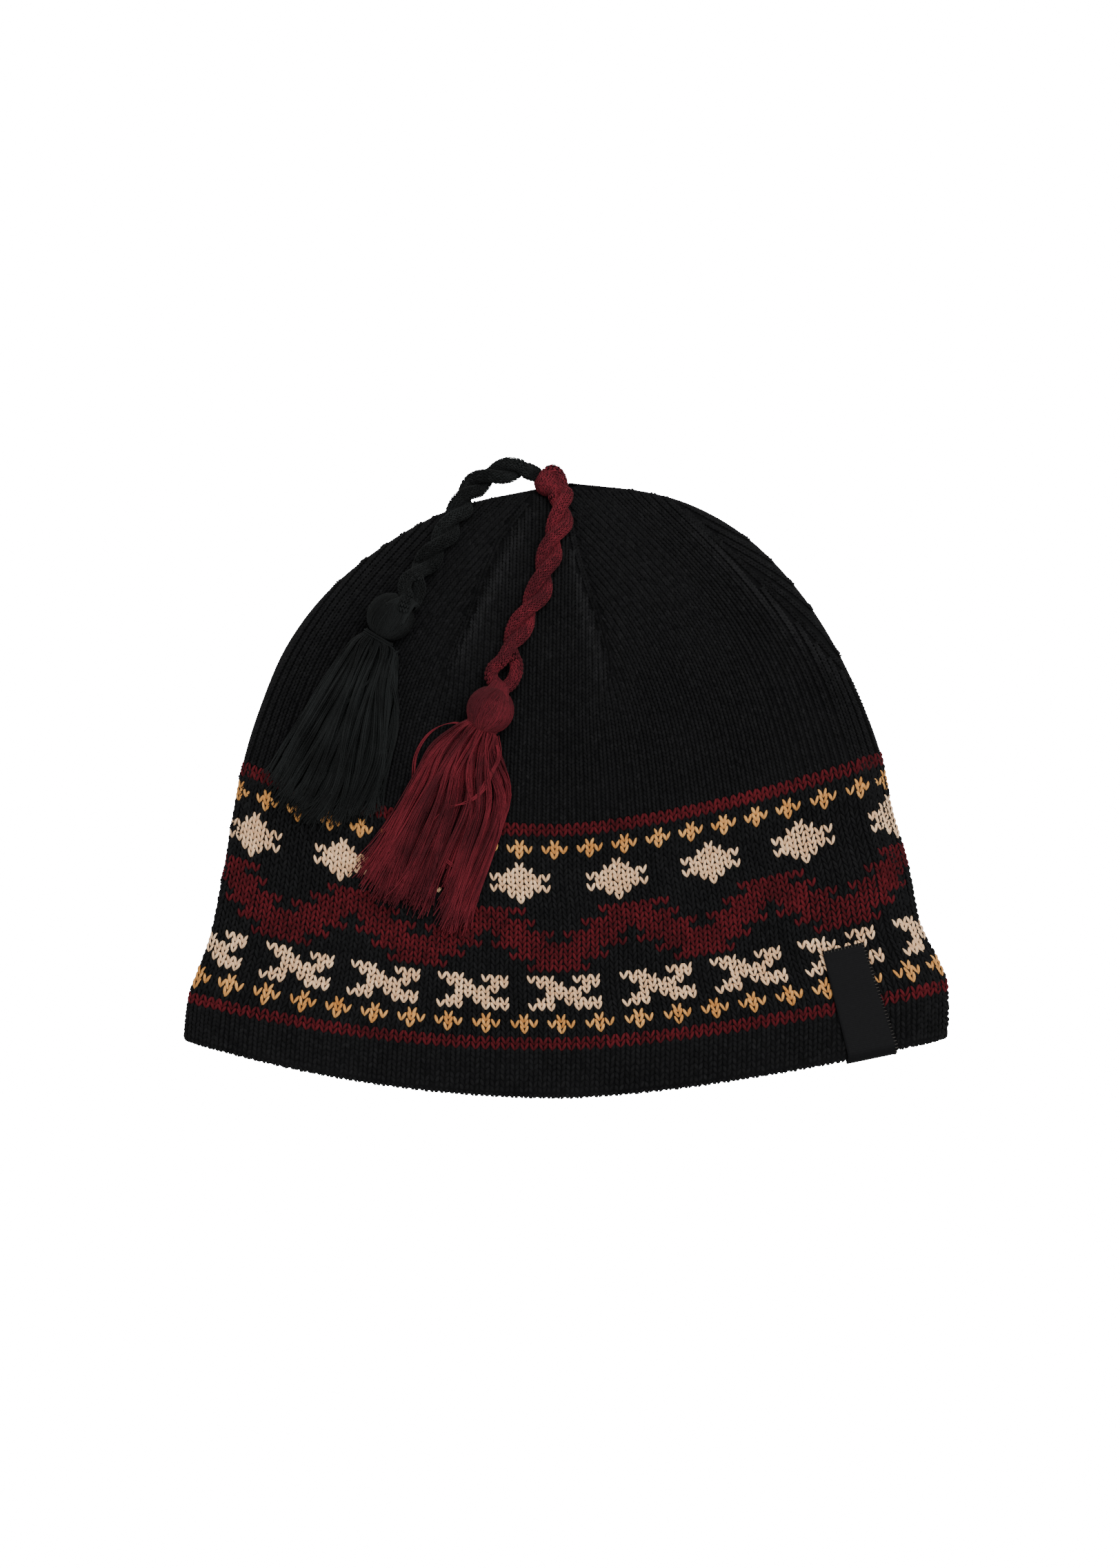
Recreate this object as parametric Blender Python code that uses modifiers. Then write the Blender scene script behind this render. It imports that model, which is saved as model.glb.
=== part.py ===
# Knitted beanie with two tassels, laid flat on its back.
# Metres, +Z up. +Y points to the top of the crown, and the flat back layer lies on z = 0.
# The origin is the middle of the hat's own box, at the underside.

from collections import namedtuple
from math import cos, exp, pi, sin

import bmesh
import bpy
from mathutils import Vector
from mathutils.bvhtree import BVHTree

# Hat
RIM_WIDTH = 0.2393          # flat width of the rim, half of its unstretched girth
SIDE_HEIGHT = 0.1732        # rim corners to the top of the crown
RIM_SAG = 0.0185            # how far the rim bows below its corners
CROWN_LOFT = 0.0450         # thickest place of the crown as it lies
FOLD_HEIGHT = 0.0095        # height of the crease along both sides
FOLD_ROUND = 0.0140         # width over which the back layer curls up to that crease
KNIT_WALL = 0.0025          # one knitted layer
HEM_WALL = 0.0045           # two layers, where the hem is turned in
HEM_DEPTH = 0.0160          # depth of the turned hem
FOLD_RIDGE = 0.0014         # height of the raised wales beside each crown fold
FOLD_SPAN = 0.0060          # half width of such a ridge
VALLEY_SHARE = 0.7          # depth of the valley beside it, for its height

# Label tab, folded round the edge of the hem
LABEL_WIDTH = 0.0143
LABEL_LENGTH = 0.0335
LABEL_TUCK = 0.0110
LABEL_THICKNESS = 0.0007
LABEL_SEAT = 0.0004         # between the tab and the hem
LABEL_RIM_ACROSS = 0.800    # share of half the rim's width
LABEL_LEAN = 0.28           # sideways run of the tab for each unit of its length

# Columns across the tab, and stops along it outside and inside the hem, as shares of its lengths
LABEL_COLUMNS = [-0.5, -0.25, 0.0, 0.25, 0.5]
LABEL_OUTSIDE = [1.0, 0.8, 0.6, 0.4, 0.2, 0.02]
LABEL_INSIDE = [0.05, 0.5, 1.0]

# Cords, knot and tassels
CORD_DIAMETER = 0.0073      # over both plies
KNOT_RADIUS = 0.0042
KNOT_LOBE_RADIUS = 0.0036
HEAD_RADIUS = 0.0074        # ball of each tassel
NECK_RADIUS = 0.0035
BINDING_RADIUS = 0.0008     # half the thickness of the wound thread
LOCK_RADIUS = 0.0027        # of a skirt's lock, near its tip
RED_SKIRT_LENGTH = 0.0633   # neck to the longest tip
BLACK_SKIRT_LENGTH = 0.0542
CLEARANCE = 0.0003          # between touching pieces
SEAT_CLEARANCE = 0.0005     # under a round piece that lies on the knit

# Mesh fineness
FRONT_COLUMNS = 40
BACK_COLUMNS = 12
CURL_COLUMNS = 3
ROWS_PER_STEP = 2           # loops of faces for each row of the table
CORD_POINTS = 14
LOCK_POINTS = 8
KNOT_SEGMENTS = 14
LOBE_SEGMENTS = 12
HEAD_SEGMENTS = 16
SETTLE_STEPS = 24           # halvings while a round piece is lowered onto the knit
WELD_DISTANCE = 0.00001

HALF_RIM = RIM_WIDTH / 2
CORNER_Y = (RIM_SAG - SIDE_HEIGHT) / 2
CREASE_POWER = 2.2          # roundness of the front layer across the hat
LEFT_BOW = 2.0              # shape of a row's bow left of the middle
RIGHT_BOW = 1.5             # and right of it
ROUND_SPACING = 0.35        # share of the front columns that crowds towards the creases
CURL_LIMIT = 0.7            # widest curl of the back layer, for half the row's width
HEM_SHOULDER = 0.12         # table rows over which the wall thins from hem to single knit

# Rows of the knit from rim to top. rise is a share of SIDE_HEIGHT, left and right of half the rim's
# width, sag and tilt of RIM_SAG, loft of CROWN_LOFT, and under, the lift of the back layer, of
# FOLD_HEIGHT.
Row = namedtuple("Row", "name rise left right sag tilt loft under")
ROWS = [
    Row("rim", 0.000, -1.000, 1.000, 1.00, 0.00, 0.49, 0.0),
    Row("hem_top", 0.084, -0.987, 0.998, 0.88, 0.10, 0.52, 0.0),
    Row("band_low", 0.130, -0.964, 0.975, 0.92, 0.10, 0.55, 0.0),
    Row("band_dip", 0.199, -0.928, 0.926, 0.94, 0.10, 0.60, 0.0),
    Row("band_middle", 0.311, -0.895, 0.893, 1.00, 0.10, 0.69, 0.0),
    Row("band_high", 0.404, -0.872, 0.853, 1.06, 0.09, 0.78, 0.0),
    Row("crown_foot", 0.503, -0.844, 0.825, 1.14, 0.08, 0.87, 0.0),
    Row("crown_low", 0.603, -0.799, 0.772, 1.22, 0.07, 0.94, 0.0),
    Row("crown_middle", 0.714, -0.728, 0.695, 1.27, 0.05, 1.00, 0.0),
    Row("crown_high", 0.814, -0.614, 0.598, 1.23, 0.03, 0.99, 0.0),
    Row("crown_top", 0.901, -0.448, 0.478, 1.07, 0.00, 0.86, 0.0),
    Row("tip_low", 0.957, -0.286, 0.344, 0.74, 0.00, 0.64, 0.0),
    Row("tip_high", 0.986, -0.108, 0.203, 0.40, 0.00, 0.44, 0.08),
    Row("top", 1.000, 0.014, 0.014, 0.00, 0.00, 0.00, 1.0),
]
TOP_ROW = len(ROWS) - 1

# The three folds that the crown's decreases leave on the front. Both ends are shares: across of half
# the rim's width, up of SIDE_HEIGHT. ridge_side is -1 where the raised wales lie left of the fold.
Fold = namedtuple("Fold", "name top_across top_up foot_across foot_up ridge_side")
CROWN_FOLDS = [
    Fold("left", -0.101, 0.964, -0.313, 0.662, 1),
    Fold("middle", 0.000, 0.966, 0.117, 0.627, -1),
    Fold("right", 0.312, 0.950, 0.739, 0.652, -1),
]

# Places on the hat, as the same shares
Place = namedtuple("Place", "across up")
KNOT = Place(-0.052, 1.0025)
KNOT_LOBE = Place(-0.029, 1.0160)
RED_HEAD = Place(-0.194, 0.5900)
BLACK_HEAD = Place(-0.452, 0.7565)

# Routes of the cords, between the knot and the ball of the tassel
RED_ROUTE = [
    Place(-0.007, 0.969),
    Place(-0.011, 0.932),
    Place(-0.029, 0.901),
    Place(-0.041, 0.870),
    Place(-0.052, 0.839),
    Place(-0.068, 0.805),
    Place(-0.088, 0.776),
    Place(-0.113, 0.745),
    Place(-0.133, 0.717),
    Place(-0.151, 0.689),
    Place(-0.165, 0.662),
]
BLACK_ROUTE = [
    Place(-0.117, 1.0270),
    Place(-0.153, 1.0220),
    Place(-0.187, 1.0150),
    Place(-0.218, 1.0050),
    Place(-0.245, 0.9880),
    Place(-0.266, 0.9630),
    Place(-0.286, 0.9380),
    Place(-0.306, 0.9130),
    Place(-0.327, 0.8880),
    Place(-0.351, 0.8630),
    Place(-0.378, 0.8410),
    Place(-0.403, 0.8200),
]

# Locks of the skirts: where each bends and ends, as shares of the skirt's length, right and down
# from the neck, and its thickness as a share of LOCK_RADIUS.
Lock = namedtuple("Lock", "bend_right bend_down tip_right tip_down thick")
RED_LOCKS = [
    Lock(-0.290, 0.231, -0.605, 0.660, 0.85),
    Lock(-0.252, 0.282, -0.520, 0.724, 0.95),
    Lock(-0.197, 0.333, -0.408, 0.810, 1.05),
    Lock(-0.140, 0.367, -0.305, 0.895, 1.10),
    Lock(-0.078, 0.390, -0.205, 0.950, 1.15),
    Lock(-0.012, 0.395, -0.110, 0.985, 1.10),
    Lock(0.040, 0.360, -0.045, 0.930, 1.00),
    Lock(0.072, 0.316, 0.000, 0.780, 0.85),
]
BLACK_LOCKS = [
    Lock(-0.325, 0.317, -0.600, 0.735, 0.85),
    Lock(-0.268, 0.365, -0.505, 0.830, 0.95),
    Lock(-0.195, 0.397, -0.389, 0.915, 1.05),
    Lock(-0.119, 0.417, -0.262, 0.975, 1.10),
    Lock(-0.040, 0.417, -0.143, 0.960, 1.10),
    Lock(0.032, 0.390, -0.032, 0.900, 1.00),
    Lock(0.075, 0.317, 0.030, 0.780, 0.85),
]
SHARES_ALONG_LOCK = [1.25, 1.35, 1.40, 1.35, 1.25, 1.10, 0.90, 0.55]
STEM_RUN = 3.0              # how far the neck runs into the locks, for LOCK_RADIUS
ROOT_LIFT = 0.3             # how far one root lies above the next, for LOCK_RADIUS

# Colours and finishes
Finish = namedtuple("Finish", "name colour roughness")
BLACK_KNIT = Finish("black_knit", (0.010, 0.010, 0.011), 0.92)
RED_YARN = Finish("red_yarn", (0.160, 0.012, 0.022), 0.85)
GREEN_BLACK_YARN = Finish("green_black_yarn", (0.010, 0.014, 0.015), 0.85)
BLACK_SATIN = Finish("black_satin", (0.012, 0.012, 0.013), 0.45)


def clear_objects():
    for obj in list(bpy.data.objects):
        bpy.data.objects.remove(obj, do_unlink=True)


def new_collection(name):
    collection = bpy.data.collections.new(name)
    bpy.context.scene.collection.children.link(collection)
    return collection


def new_material(finish):
    material = bpy.data.materials.new(finish.name)
    material.use_nodes = True
    shader = material.node_tree.nodes["Principled BSDF"]
    shader.inputs["Base Color"].default_value = (*finish.colour, 1.0)
    shader.inputs["Roughness"].default_value = finish.roughness
    shader.inputs["Metallic"].default_value = 0.0
    return material


def add_object(name, data, collection):
    obj = bpy.data.objects.new(name, data)
    collection.objects.link(obj)
    return obj


def mesh_from_bmesh(name, bm):
    mesh = bpy.data.meshes.new(name)
    bm.to_mesh(mesh)
    bm.free()
    return mesh


def move_to(obj, collection):
    for home in list(obj.users_collection):
        home.objects.unlink(obj)
    collection.objects.link(obj)


def hermite(values, position):
    """Smooth curve through equally spaced values, read at a position counted in steps."""
    last = len(values) - 1
    step = min(int(position), last - 1)
    t = position - step
    a, b = values[step], values[step + 1]
    before = values[step - 1] if step > 0 else a * 2 - b
    after = values[step + 2] if step + 2 <= last else b * 2 - a
    slope_a = (b - before) * 0.5
    slope_b = (after - a) * 0.5
    return (
        a * (2 * t**3 - 3 * t**2 + 1)
        + slope_a * (t**3 - 2 * t**2 + t)
        + b * (3 * t**2 - 2 * t**3)
        + slope_b * (t**3 - t**2)
    )


def row_at(position):
    """Real sizes of the knit's row at a position counted in table rows from the rim."""
    share = Row(None, *(hermite([row[i] for row in ROWS], position) for i in range(1, len(Row._fields))))
    left = share.left * HALF_RIM
    right = share.right * HALF_RIM
    return {
        "middle": (left + right) / 2,
        "half": max((right - left) / 2, 0.0),
        "y": CORNER_Y + share.rise * SIDE_HEIGHT,
        "sag": max(share.sag, 0.0) * RIM_SAG,
        "tilt": share.tilt * RIM_SAG,
        "loft": max(share.loft * CROWN_LOFT, FOLD_HEIGHT),
        "under": max(share.under, 0.0) * FOLD_HEIGHT,
    }


def bow(row, u):
    """Y of a row at u, from -1 at its left crease to 1 at its right one."""
    power = LEFT_BOW if u < 0 else RIGHT_BOW
    return row["y"] + row["tilt"] * u - row["sag"] * (1 - min(abs(u), 1.0) ** power)


def position_of_hem():
    """Table position of the row that lies HEM_DEPTH above the middle of the rim."""
    position = 0.0
    while bow(row_at(position), 0.0) < bow(row_at(0.0), 0.0) + HEM_DEPTH:
        position += 0.01
    return position


def fold_relief(x, y):
    """Raised wales and the valley beside them, along the three crown folds."""
    relief = 0.0
    for fold in CROWN_FOLDS:
        top = Vector((fold.top_across * HALF_RIM, CORNER_Y + fold.top_up * SIDE_HEIGHT))
        foot = Vector((fold.foot_across * HALF_RIM, CORNER_Y + fold.foot_up * SIDE_HEIGHT))
        run = foot - top
        along = (Vector((x, y)) - top).dot(run) / run.length_squared
        side = (Vector((x, y)) - top).cross(run) / run.length * fold.ridge_side
        fade = max(0.0, sin(pi * min(max(along, 0.0), 1.0))) ** 0.5
        ridge = exp(-((side + FOLD_SPAN) / FOLD_SPAN) ** 2)
        valley = exp(-((side - FOLD_SPAN / 2) / (FOLD_SPAN / 2)) ** 2)
        relief += fade * FOLD_RIDGE * (ridge - valley * VALLEY_SHARE)
    return relief


def row_loop(row):
    """One row as a closed loop: front from left to right, then the back from right to left."""
    middle, half = row["middle"], row["half"]
    curl = min(FOLD_ROUND, half * CURL_LIMIT)
    points = []
    for i in range(FRONT_COLUMNS + 1):
        angle = pi * (i / FRONT_COLUMNS - 0.5)
        u = ROUND_SPACING * sin(angle) + (1 - ROUND_SPACING) * angle / (pi / 2)
        rise = max(1 - abs(u) ** CREASE_POWER, 0.0) ** (1 / CREASE_POWER)
        x, y = middle + u * half, bow(row, u)
        z = FOLD_HEIGHT + (row["loft"] - FOLD_HEIGHT) * rise + fold_relief(x, y) * rise
        points.append((x, y, z))
    flat = half - curl
    back = []
    for i in range(1, CURL_COLUMNS + 1):
        angle = pi / 2 * i / CURL_COLUMNS
        sink = (FOLD_HEIGHT - row["under"]) * sin(angle)
        back.append((flat + curl * cos(angle), FOLD_HEIGHT - sink))
    for i in range(1, BACK_COLUMNS):
        back.append((flat * (1 - 2 * i / BACK_COLUMNS), row["under"]))
    for i in range(CURL_COLUMNS, 0, -1):
        angle = pi / 2 * i / CURL_COLUMNS
        sink = (FOLD_HEIGHT - row["under"]) * sin(angle)
        back.append((-flat - curl * cos(angle), FOLD_HEIGHT - sink))
    for offset, z in back:
        points.append((middle + offset, bow(row, offset / half), z))
    return points


def make_knit_body(collection, material):
    """Crown, band and hem as one hollow shell that is open at the rim."""
    hem = position_of_hem()
    positions = [0.0, hem / 2, hem, hem + HEM_SHOULDER]
    table_rows = [i / ROWS_PER_STEP for i in range(1, ROWS_PER_STEP * TOP_ROW)]
    positions += [position for position in table_rows if position > hem + HEM_SHOULDER * 2]
    bm = bmesh.new()
    weights = bm.verts.layers.deform.verify()
    rings = []
    for position in positions:
        ring = [bm.verts.new(point) for point in row_loop(row_at(position))]
        for vert in ring:
            vert[weights][0] = 1.0 if position <= hem else 0.0
        rings.append(ring)
    top = row_at(TOP_ROW)
    tip = bm.verts.new((top["middle"], top["y"], FOLD_HEIGHT))
    tip[weights][0] = 0.0
    for lower, upper in zip(rings, rings[1:]):
        for i, vert in enumerate(lower):
            j = (i + 1) % len(lower)
            bm.faces.new((vert, lower[j], upper[j], upper[i]))
    for i, vert in enumerate(rings[-1]):
        bm.faces.new((vert, rings[-1][(i + 1) % len(rings[-1])], tip))
    for face in bm.faces:
        face.smooth = True
    body = add_object("knit_body", mesh_from_bmesh("knit_body", bm), collection)
    body.vertex_groups.new(name="hem")
    wall = body.modifiers.new("wall", "SOLIDIFY")
    wall.thickness = HEM_WALL
    wall.offset = -1.0
    wall.use_even_offset = True
    wall.vertex_group = "hem"
    wall.thickness_vertex_group = KNIT_WALL / HEM_WALL
    body.data.materials.append(material)
    return body


class Surface:
    """The knitted shell as a surface that other pieces are laid on."""

    def __init__(self, body):
        bpy.context.view_layer.update()
        self.tree = BVHTree.FromObject(body, bpy.context.evaluated_depsgraph_get())

    def layers(self, x, y):
        """Outer and inner height of the front layer, and its normal, or None beside the hat."""
        down = Vector((0, 0, -1))
        hit, normal, _, _ = self.tree.ray_cast(Vector((x, y, CROWN_LOFT * 2)), down)
        if hit is None:
            return None
        inner, _, _, _ = self.tree.ray_cast(hit + down * CLEARANCE, down)
        return hit.z, inner.z, normal

    def settle(self, x, y, radius):
        """Height of the centre of a ball that is lowered onto the hat, or onto the floor beside it."""
        low, high = radius, CROWN_LOFT * 2
        reach = radius + SEAT_CLEARANCE
        if self.tree.find_nearest(Vector((x, y, low)))[3] > reach and self.layers(x, y) is None:
            return None
        for _ in range(SETTLE_STEPS):
            middle = (low + high) / 2
            if self.clear_above(x, y, middle, reach):
                high = middle
            else:
                low = middle
        return high

    def clear_above(self, x, y, z, reach):
        layers = self.layers(x, y)
        if layers is not None and z < layers[0]:
            return False
        return self.tree.find_nearest(Vector((x, y, z)))[3] >= reach


def spot(place):
    return Vector((place.across * HALF_RIM, CORNER_Y + place.up * SIDE_HEIGHT))


def make_ball(name, centre, radius, segments, collection):
    bm = bmesh.new()
    bmesh.ops.create_uvsphere(bm, u_segments=segments, v_segments=segments // 2 + 2, radius=radius)
    for face in bm.faces:
        face.smooth = True
    ball = add_object(name, mesh_from_bmesh(name, bm), collection)
    ball.location = centre
    return ball


def make_tube(name, points, radii, bevel, resolution, collection):
    """A tube with filled caps along the points, each with its own share of the bevel."""
    curve = bpy.data.curves.new(name, "CURVE")
    curve.dimensions = "3D"
    curve.bevel_depth = bevel
    curve.bevel_resolution = resolution
    curve.use_fill_caps = True
    spline = curve.splines.new("POLY")
    spline.points.add(len(points) - 1)
    for target, point, radius in zip(spline.points, points, radii):
        target.co = (*point, 1.0)
        target.radius = radius
    spline.use_smooth = True
    return add_object(name, curve, collection)


def tube_to_mesh(tube, collection):
    """The same tube as a welded mesh, for use in a Boolean."""
    bpy.context.view_layer.update()
    depsgraph = bpy.context.evaluated_depsgraph_get()
    mesh = bpy.data.meshes.new_from_object(tube.evaluated_get(depsgraph))
    bm = bmesh.new()
    bm.from_mesh(mesh)
    bmesh.ops.remove_doubles(bm, verts=bm.verts, dist=WELD_DISTANCE)
    bmesh.ops.recalc_face_normals(bm, faces=bm.faces)
    bm.to_mesh(mesh)
    bm.free()
    solid = add_object(tube.name + "_solid", mesh, collection)
    solid.matrix_world = tube.matrix_world.copy()
    bpy.data.objects.remove(tube, do_unlink=True)
    return solid


def hide_cutter(obj):
    obj.hide_render = True
    obj.display_type = "WIRE"


def fuse(target, others):
    for other in others:
        hide_cutter(other)
        union = target.modifiers.new("fuse_" + other.name, "BOOLEAN")
        union.operation = "UNION"
        union.solver = "EXACT"
        union.object = other


def make_label(surface, collection, material):
    """A woven tab that lies on the hem, goes round its edge and is tucked inside."""
    rim = row_at(0.0)
    offset = LABEL_SEAT + LABEL_THICKNESS / 2
    step_out = Vector((LABEL_LEAN, -1.0)).normalized()
    rim_x = LABEL_RIM_ACROSS * HALF_RIM
    half_width = LABEL_WIDTH / 2
    right_y = bow(rim, (rim_x + half_width) / HALF_RIM)
    left_y = bow(rim, (rim_x - half_width) / HALF_RIM)
    tangent = Vector((LABEL_WIDTH, right_y - left_y)).normalized()
    outside = [LABEL_LENGTH * share for share in LABEL_OUTSIDE]
    inside = [LABEL_TUCK * share for share in LABEL_INSIDE]
    columns = []
    for share in LABEL_COLUMNS:
        edge = Vector((rim_x, 0.0)) + tangent * LABEL_WIDTH * share
        edge.y = bow(rim, edge.x / HALF_RIM)
        column = []
        for distance in outside:
            x, y = edge - step_out * distance
            outer, _, normal = surface.layers(x, y)
            column.append(Vector((x, y, outer)) + normal * offset)
        start = edge - step_out * outside[-1]
        outer, inner, normal = surface.layers(*start)
        turn = edge + step_out * offset
        round_off = offset / 2
        for height in (outer + round_off, (outer + inner) / 2, inner - round_off):
            column.append(Vector((turn.x, turn.y, height)))
        for distance in inside:
            x, y = edge - step_out * distance
            _, inner, normal = surface.layers(x, y)
            column.append(Vector((x, y, inner)) - normal * offset)
        columns.append(column)
    bm = bmesh.new()
    grid = [[bm.verts.new(point) for point in column] for column in columns]
    for left, right in zip(grid, grid[1:]):
        for i in range(len(left) - 1):
            bm.faces.new((left[i], left[i + 1], right[i + 1], right[i]))
    label = add_object("label_tab", mesh_from_bmesh("label_tab", bm), collection)
    cloth = label.modifiers.new("cloth", "SOLIDIFY")
    cloth.thickness = LABEL_THICKNESS
    cloth.offset = 0.0
    label.data.materials.append(material)
    return label


def make_knot(surface, collection, cutters, material):
    """The two-lobed knot that sits on the top of the crown. Returns its centre."""
    place = spot(KNOT)
    centre = Vector((*place, surface.settle(*place, KNOT_RADIUS)))
    lobe_place = spot(KNOT_LOBE)
    lobe_centre = Vector((*lobe_place, centre.z))
    knot = make_ball("crown_knot", centre, KNOT_RADIUS, KNOT_SEGMENTS, collection)
    fuse(knot, [make_ball("knot_lobe", lobe_centre, KNOT_LOBE_RADIUS, LOBE_SEGMENTS, cutters)])
    knot.data.materials.append(material)
    return centre


def make_cord(name, start, route, end, surface, collection, material):
    """A cord from the knot's surface, over the hat, to the surface of the tassel's ball."""
    radius = CORD_DIAMETER / 2
    stops = []
    for place in route:
        point = spot(place)
        height = surface.settle(*point, radius)
        stops.append(Vector((*point, start.z if height is None else height)))
    first = start + (stops[0] - start).normalized() * (KNOT_RADIUS + CLEARANCE)
    last = end + (stops[-1] - end).normalized() * (HEAD_RADIUS + CLEARANCE)
    stops = [first] + stops + [last]
    points = []
    for i in range(CORD_POINTS + 1):
        points.append(hermite(stops, (len(stops) - 1) * i / CORD_POINTS))
    cord = make_tube(name, points, [1.0] * len(points), radius, 3, collection)
    cord.data.materials.append(material)
    return cord


def make_tassel(name, place, locks, length, surface, collection, cutters, material):
    """Ball, neck and locks fused into one solid, and the thread wound round the neck."""
    head_place = spot(place)
    centre = Vector((*head_place, surface.settle(*head_place, HEAD_RADIUS)))
    heading = Vector((sum(lock.bend_right for lock in locks), -sum(lock.bend_down for lock in locks), 0))
    heading.normalize()
    neck = centre + heading * (HEAD_RADIUS + BINDING_RADIUS)
    pieces = []
    stem = [centre, neck, neck + heading * LOCK_RADIUS * STEM_RUN]
    pieces.append(tube_to_mesh(make_tube(name + "_stem", stem, [1.0] * 3, NECK_RADIUS, 3, cutters), cutters))
    across = Vector((-heading.y, heading.x, 0))
    for number, lock in enumerate(locks):
        share = number / (len(locks) - 1) - 0.5
        root = neck + heading * (BINDING_RADIUS + CLEARANCE + LOCK_RADIUS)
        lift = (number % 3 - 1) * LOCK_RADIUS * ROOT_LIFT
        root += across * share * NECK_RADIUS + Vector((0, 0, lift))
        bend = neck + Vector((lock.bend_right, -lock.bend_down, 0)) * length
        tip = neck + Vector((lock.tip_right, -lock.tip_down, 0)) * length
        points = []
        for i in range(LOCK_POINTS):
            t = i / (LOCK_POINTS - 1)
            radius = LOCK_RADIUS * lock.thick * SHARES_ALONG_LOCK[i]
            point = hermite([root, bend, tip], 2 * t)
            rest = surface.settle(point.x, point.y, radius)
            point.z = rest + max(neck.z - rest, 0.0) * (1 - t) ** 3
            points.append(point)
        tube_name = f"{name}_lock_{number}"
        radii = [share * lock.thick for share in SHARES_ALONG_LOCK]
        tube = make_tube(tube_name, points, radii, LOCK_RADIUS, 2, cutters)
        pieces.append(tube_to_mesh(tube, cutters))
    head = make_ball(name, centre, HEAD_RADIUS, HEAD_SEGMENTS, collection)
    fuse(head, pieces)
    head.data.materials.append(material)
    return centre, neck, heading


def make_binding(name, neck, heading, collection, material):
    """The wound thread as one ring round the tassel's neck."""
    bpy.ops.mesh.primitive_torus_add(
        major_segments=20,
        minor_segments=8,
        major_radius=NECK_RADIUS + CLEARANCE + BINDING_RADIUS,
        minor_radius=BINDING_RADIUS,
    )
    ring = bpy.context.active_object
    ring.name = name
    ring.data.name = name
    ring.location = neck
    ring.rotation_mode = "QUATERNION"
    ring.rotation_quaternion = heading.to_track_quat("Z", "Y")
    ring.data.shade_smooth()
    move_to(ring, collection)
    ring.data.materials.append(material)
    return ring


def main():
    clear_objects()
    collection = new_collection("beanie")
    cutters = new_collection("beanie_cutters")
    knit = new_material(BLACK_KNIT)
    red = new_material(RED_YARN)
    dark = new_material(GREEN_BLACK_YARN)
    satin = new_material(BLACK_SATIN)

    surface = Surface(make_knit_body(collection, knit))
    make_label(surface, collection, satin)
    knot = make_knot(surface, collection, cutters, red)

    sides = [
        ("red", RED_HEAD, RED_LOCKS, RED_SKIRT_LENGTH, RED_ROUTE, red),
        ("black", BLACK_HEAD, BLACK_LOCKS, BLACK_SKIRT_LENGTH, BLACK_ROUTE, dark),
    ]
    for colour, place, locks, length, route, material in sides:
        centre, neck, heading = make_tassel(
            colour + "_tassel", place, locks, length, surface, collection, cutters, material
        )
        make_binding(colour + "_binding", neck, heading, collection, material)
        make_cord(colour + "_cord", knot, route, centre, surface, collection, material)


main()
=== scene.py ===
# Knitted beanie with two tassels, laid flat on its back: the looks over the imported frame.
# Metres. +Y runs from the rim to the top of the crown, and the hat's own middle is at the origin.
from math import ceil, cos, pi, radians, sin, tau

import bpy
import numpy as np
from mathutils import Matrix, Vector
from mathutils.bvhtree import BVHTree


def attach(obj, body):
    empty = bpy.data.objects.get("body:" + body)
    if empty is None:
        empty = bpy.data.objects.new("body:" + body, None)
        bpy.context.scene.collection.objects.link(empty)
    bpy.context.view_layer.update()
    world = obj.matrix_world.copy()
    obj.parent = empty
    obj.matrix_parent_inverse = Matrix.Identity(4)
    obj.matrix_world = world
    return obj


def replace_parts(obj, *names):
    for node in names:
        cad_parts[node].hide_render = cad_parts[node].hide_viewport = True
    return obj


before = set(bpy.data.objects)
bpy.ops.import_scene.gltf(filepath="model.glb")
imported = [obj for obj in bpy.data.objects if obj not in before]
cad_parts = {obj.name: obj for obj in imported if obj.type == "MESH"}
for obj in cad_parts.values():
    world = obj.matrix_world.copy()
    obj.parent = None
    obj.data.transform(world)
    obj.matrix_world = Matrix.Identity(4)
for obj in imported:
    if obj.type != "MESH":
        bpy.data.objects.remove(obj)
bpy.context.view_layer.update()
random = np.random.default_rng(7)


def addObject(name, data):
    obj = bpy.data.objects.new(name, data)
    bpy.context.scene.collection.objects.link(obj)
    return obj


# Camera: straight above, far away through a long lens, as a catalogue picture is taken
camera = {
    "middle": (-0.0017, 0.0019),
    "height": 5.0,
    "shownHeight": 0.4891,      # of the photo's frame, at the depth of the hat's outline
    "outlineDepth": 0.012,
    "sensor": 36.0,
}


def addCamera():
    data = bpy.data.cameras.new("camera")
    data.sensor_width = camera["sensor"]
    data.lens = camera["sensor"] * (camera["height"] - camera["outlineDepth"]) / camera["shownHeight"]
    data.clip_end = 20
    obj = addObject("camera", data)
    obj.location = (*camera["middle"], camera["height"])
    bpy.context.scene.camera = obj


# Materials

def linear(hexColour):
    parts = [int(hexColour[i:i + 2], 16) / 255 for i in (1, 3, 5)]
    return (*(p / 12.92 if p <= 0.04045 else ((p + 0.055) / 1.055) ** 2.4 for p in parts), 1.0)


def setSockets(node, values, links=None):
    for key, value in values.items():
        node.inputs[key].default_value = value
    for key, source in (links or {}).items():
        node.id_data.links.new(source, node.inputs[key])


def addNode(tree, kind, values=None, links=None, **settings):
    node = tree.nodes.new(kind)
    for key, value in settings.items():
        setattr(node, key, value)
    setSockets(node, values or {}, links)
    return node


def newMaterial(name):
    made = bpy.data.materials.new(name)
    made.use_nodes = True
    return made, made.node_tree, made.node_tree.nodes["Principled BSDF"]


def colourStops(ramp, stops):
    ramp.elements.remove(ramp.elements[1])
    ramp.elements[0].position = stops[0][0]
    ramp.elements[0].color = linear(stops[0][1])
    for position, colour in stops[1:]:
        ramp.elements.new(position).color = linear(colour)


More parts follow.
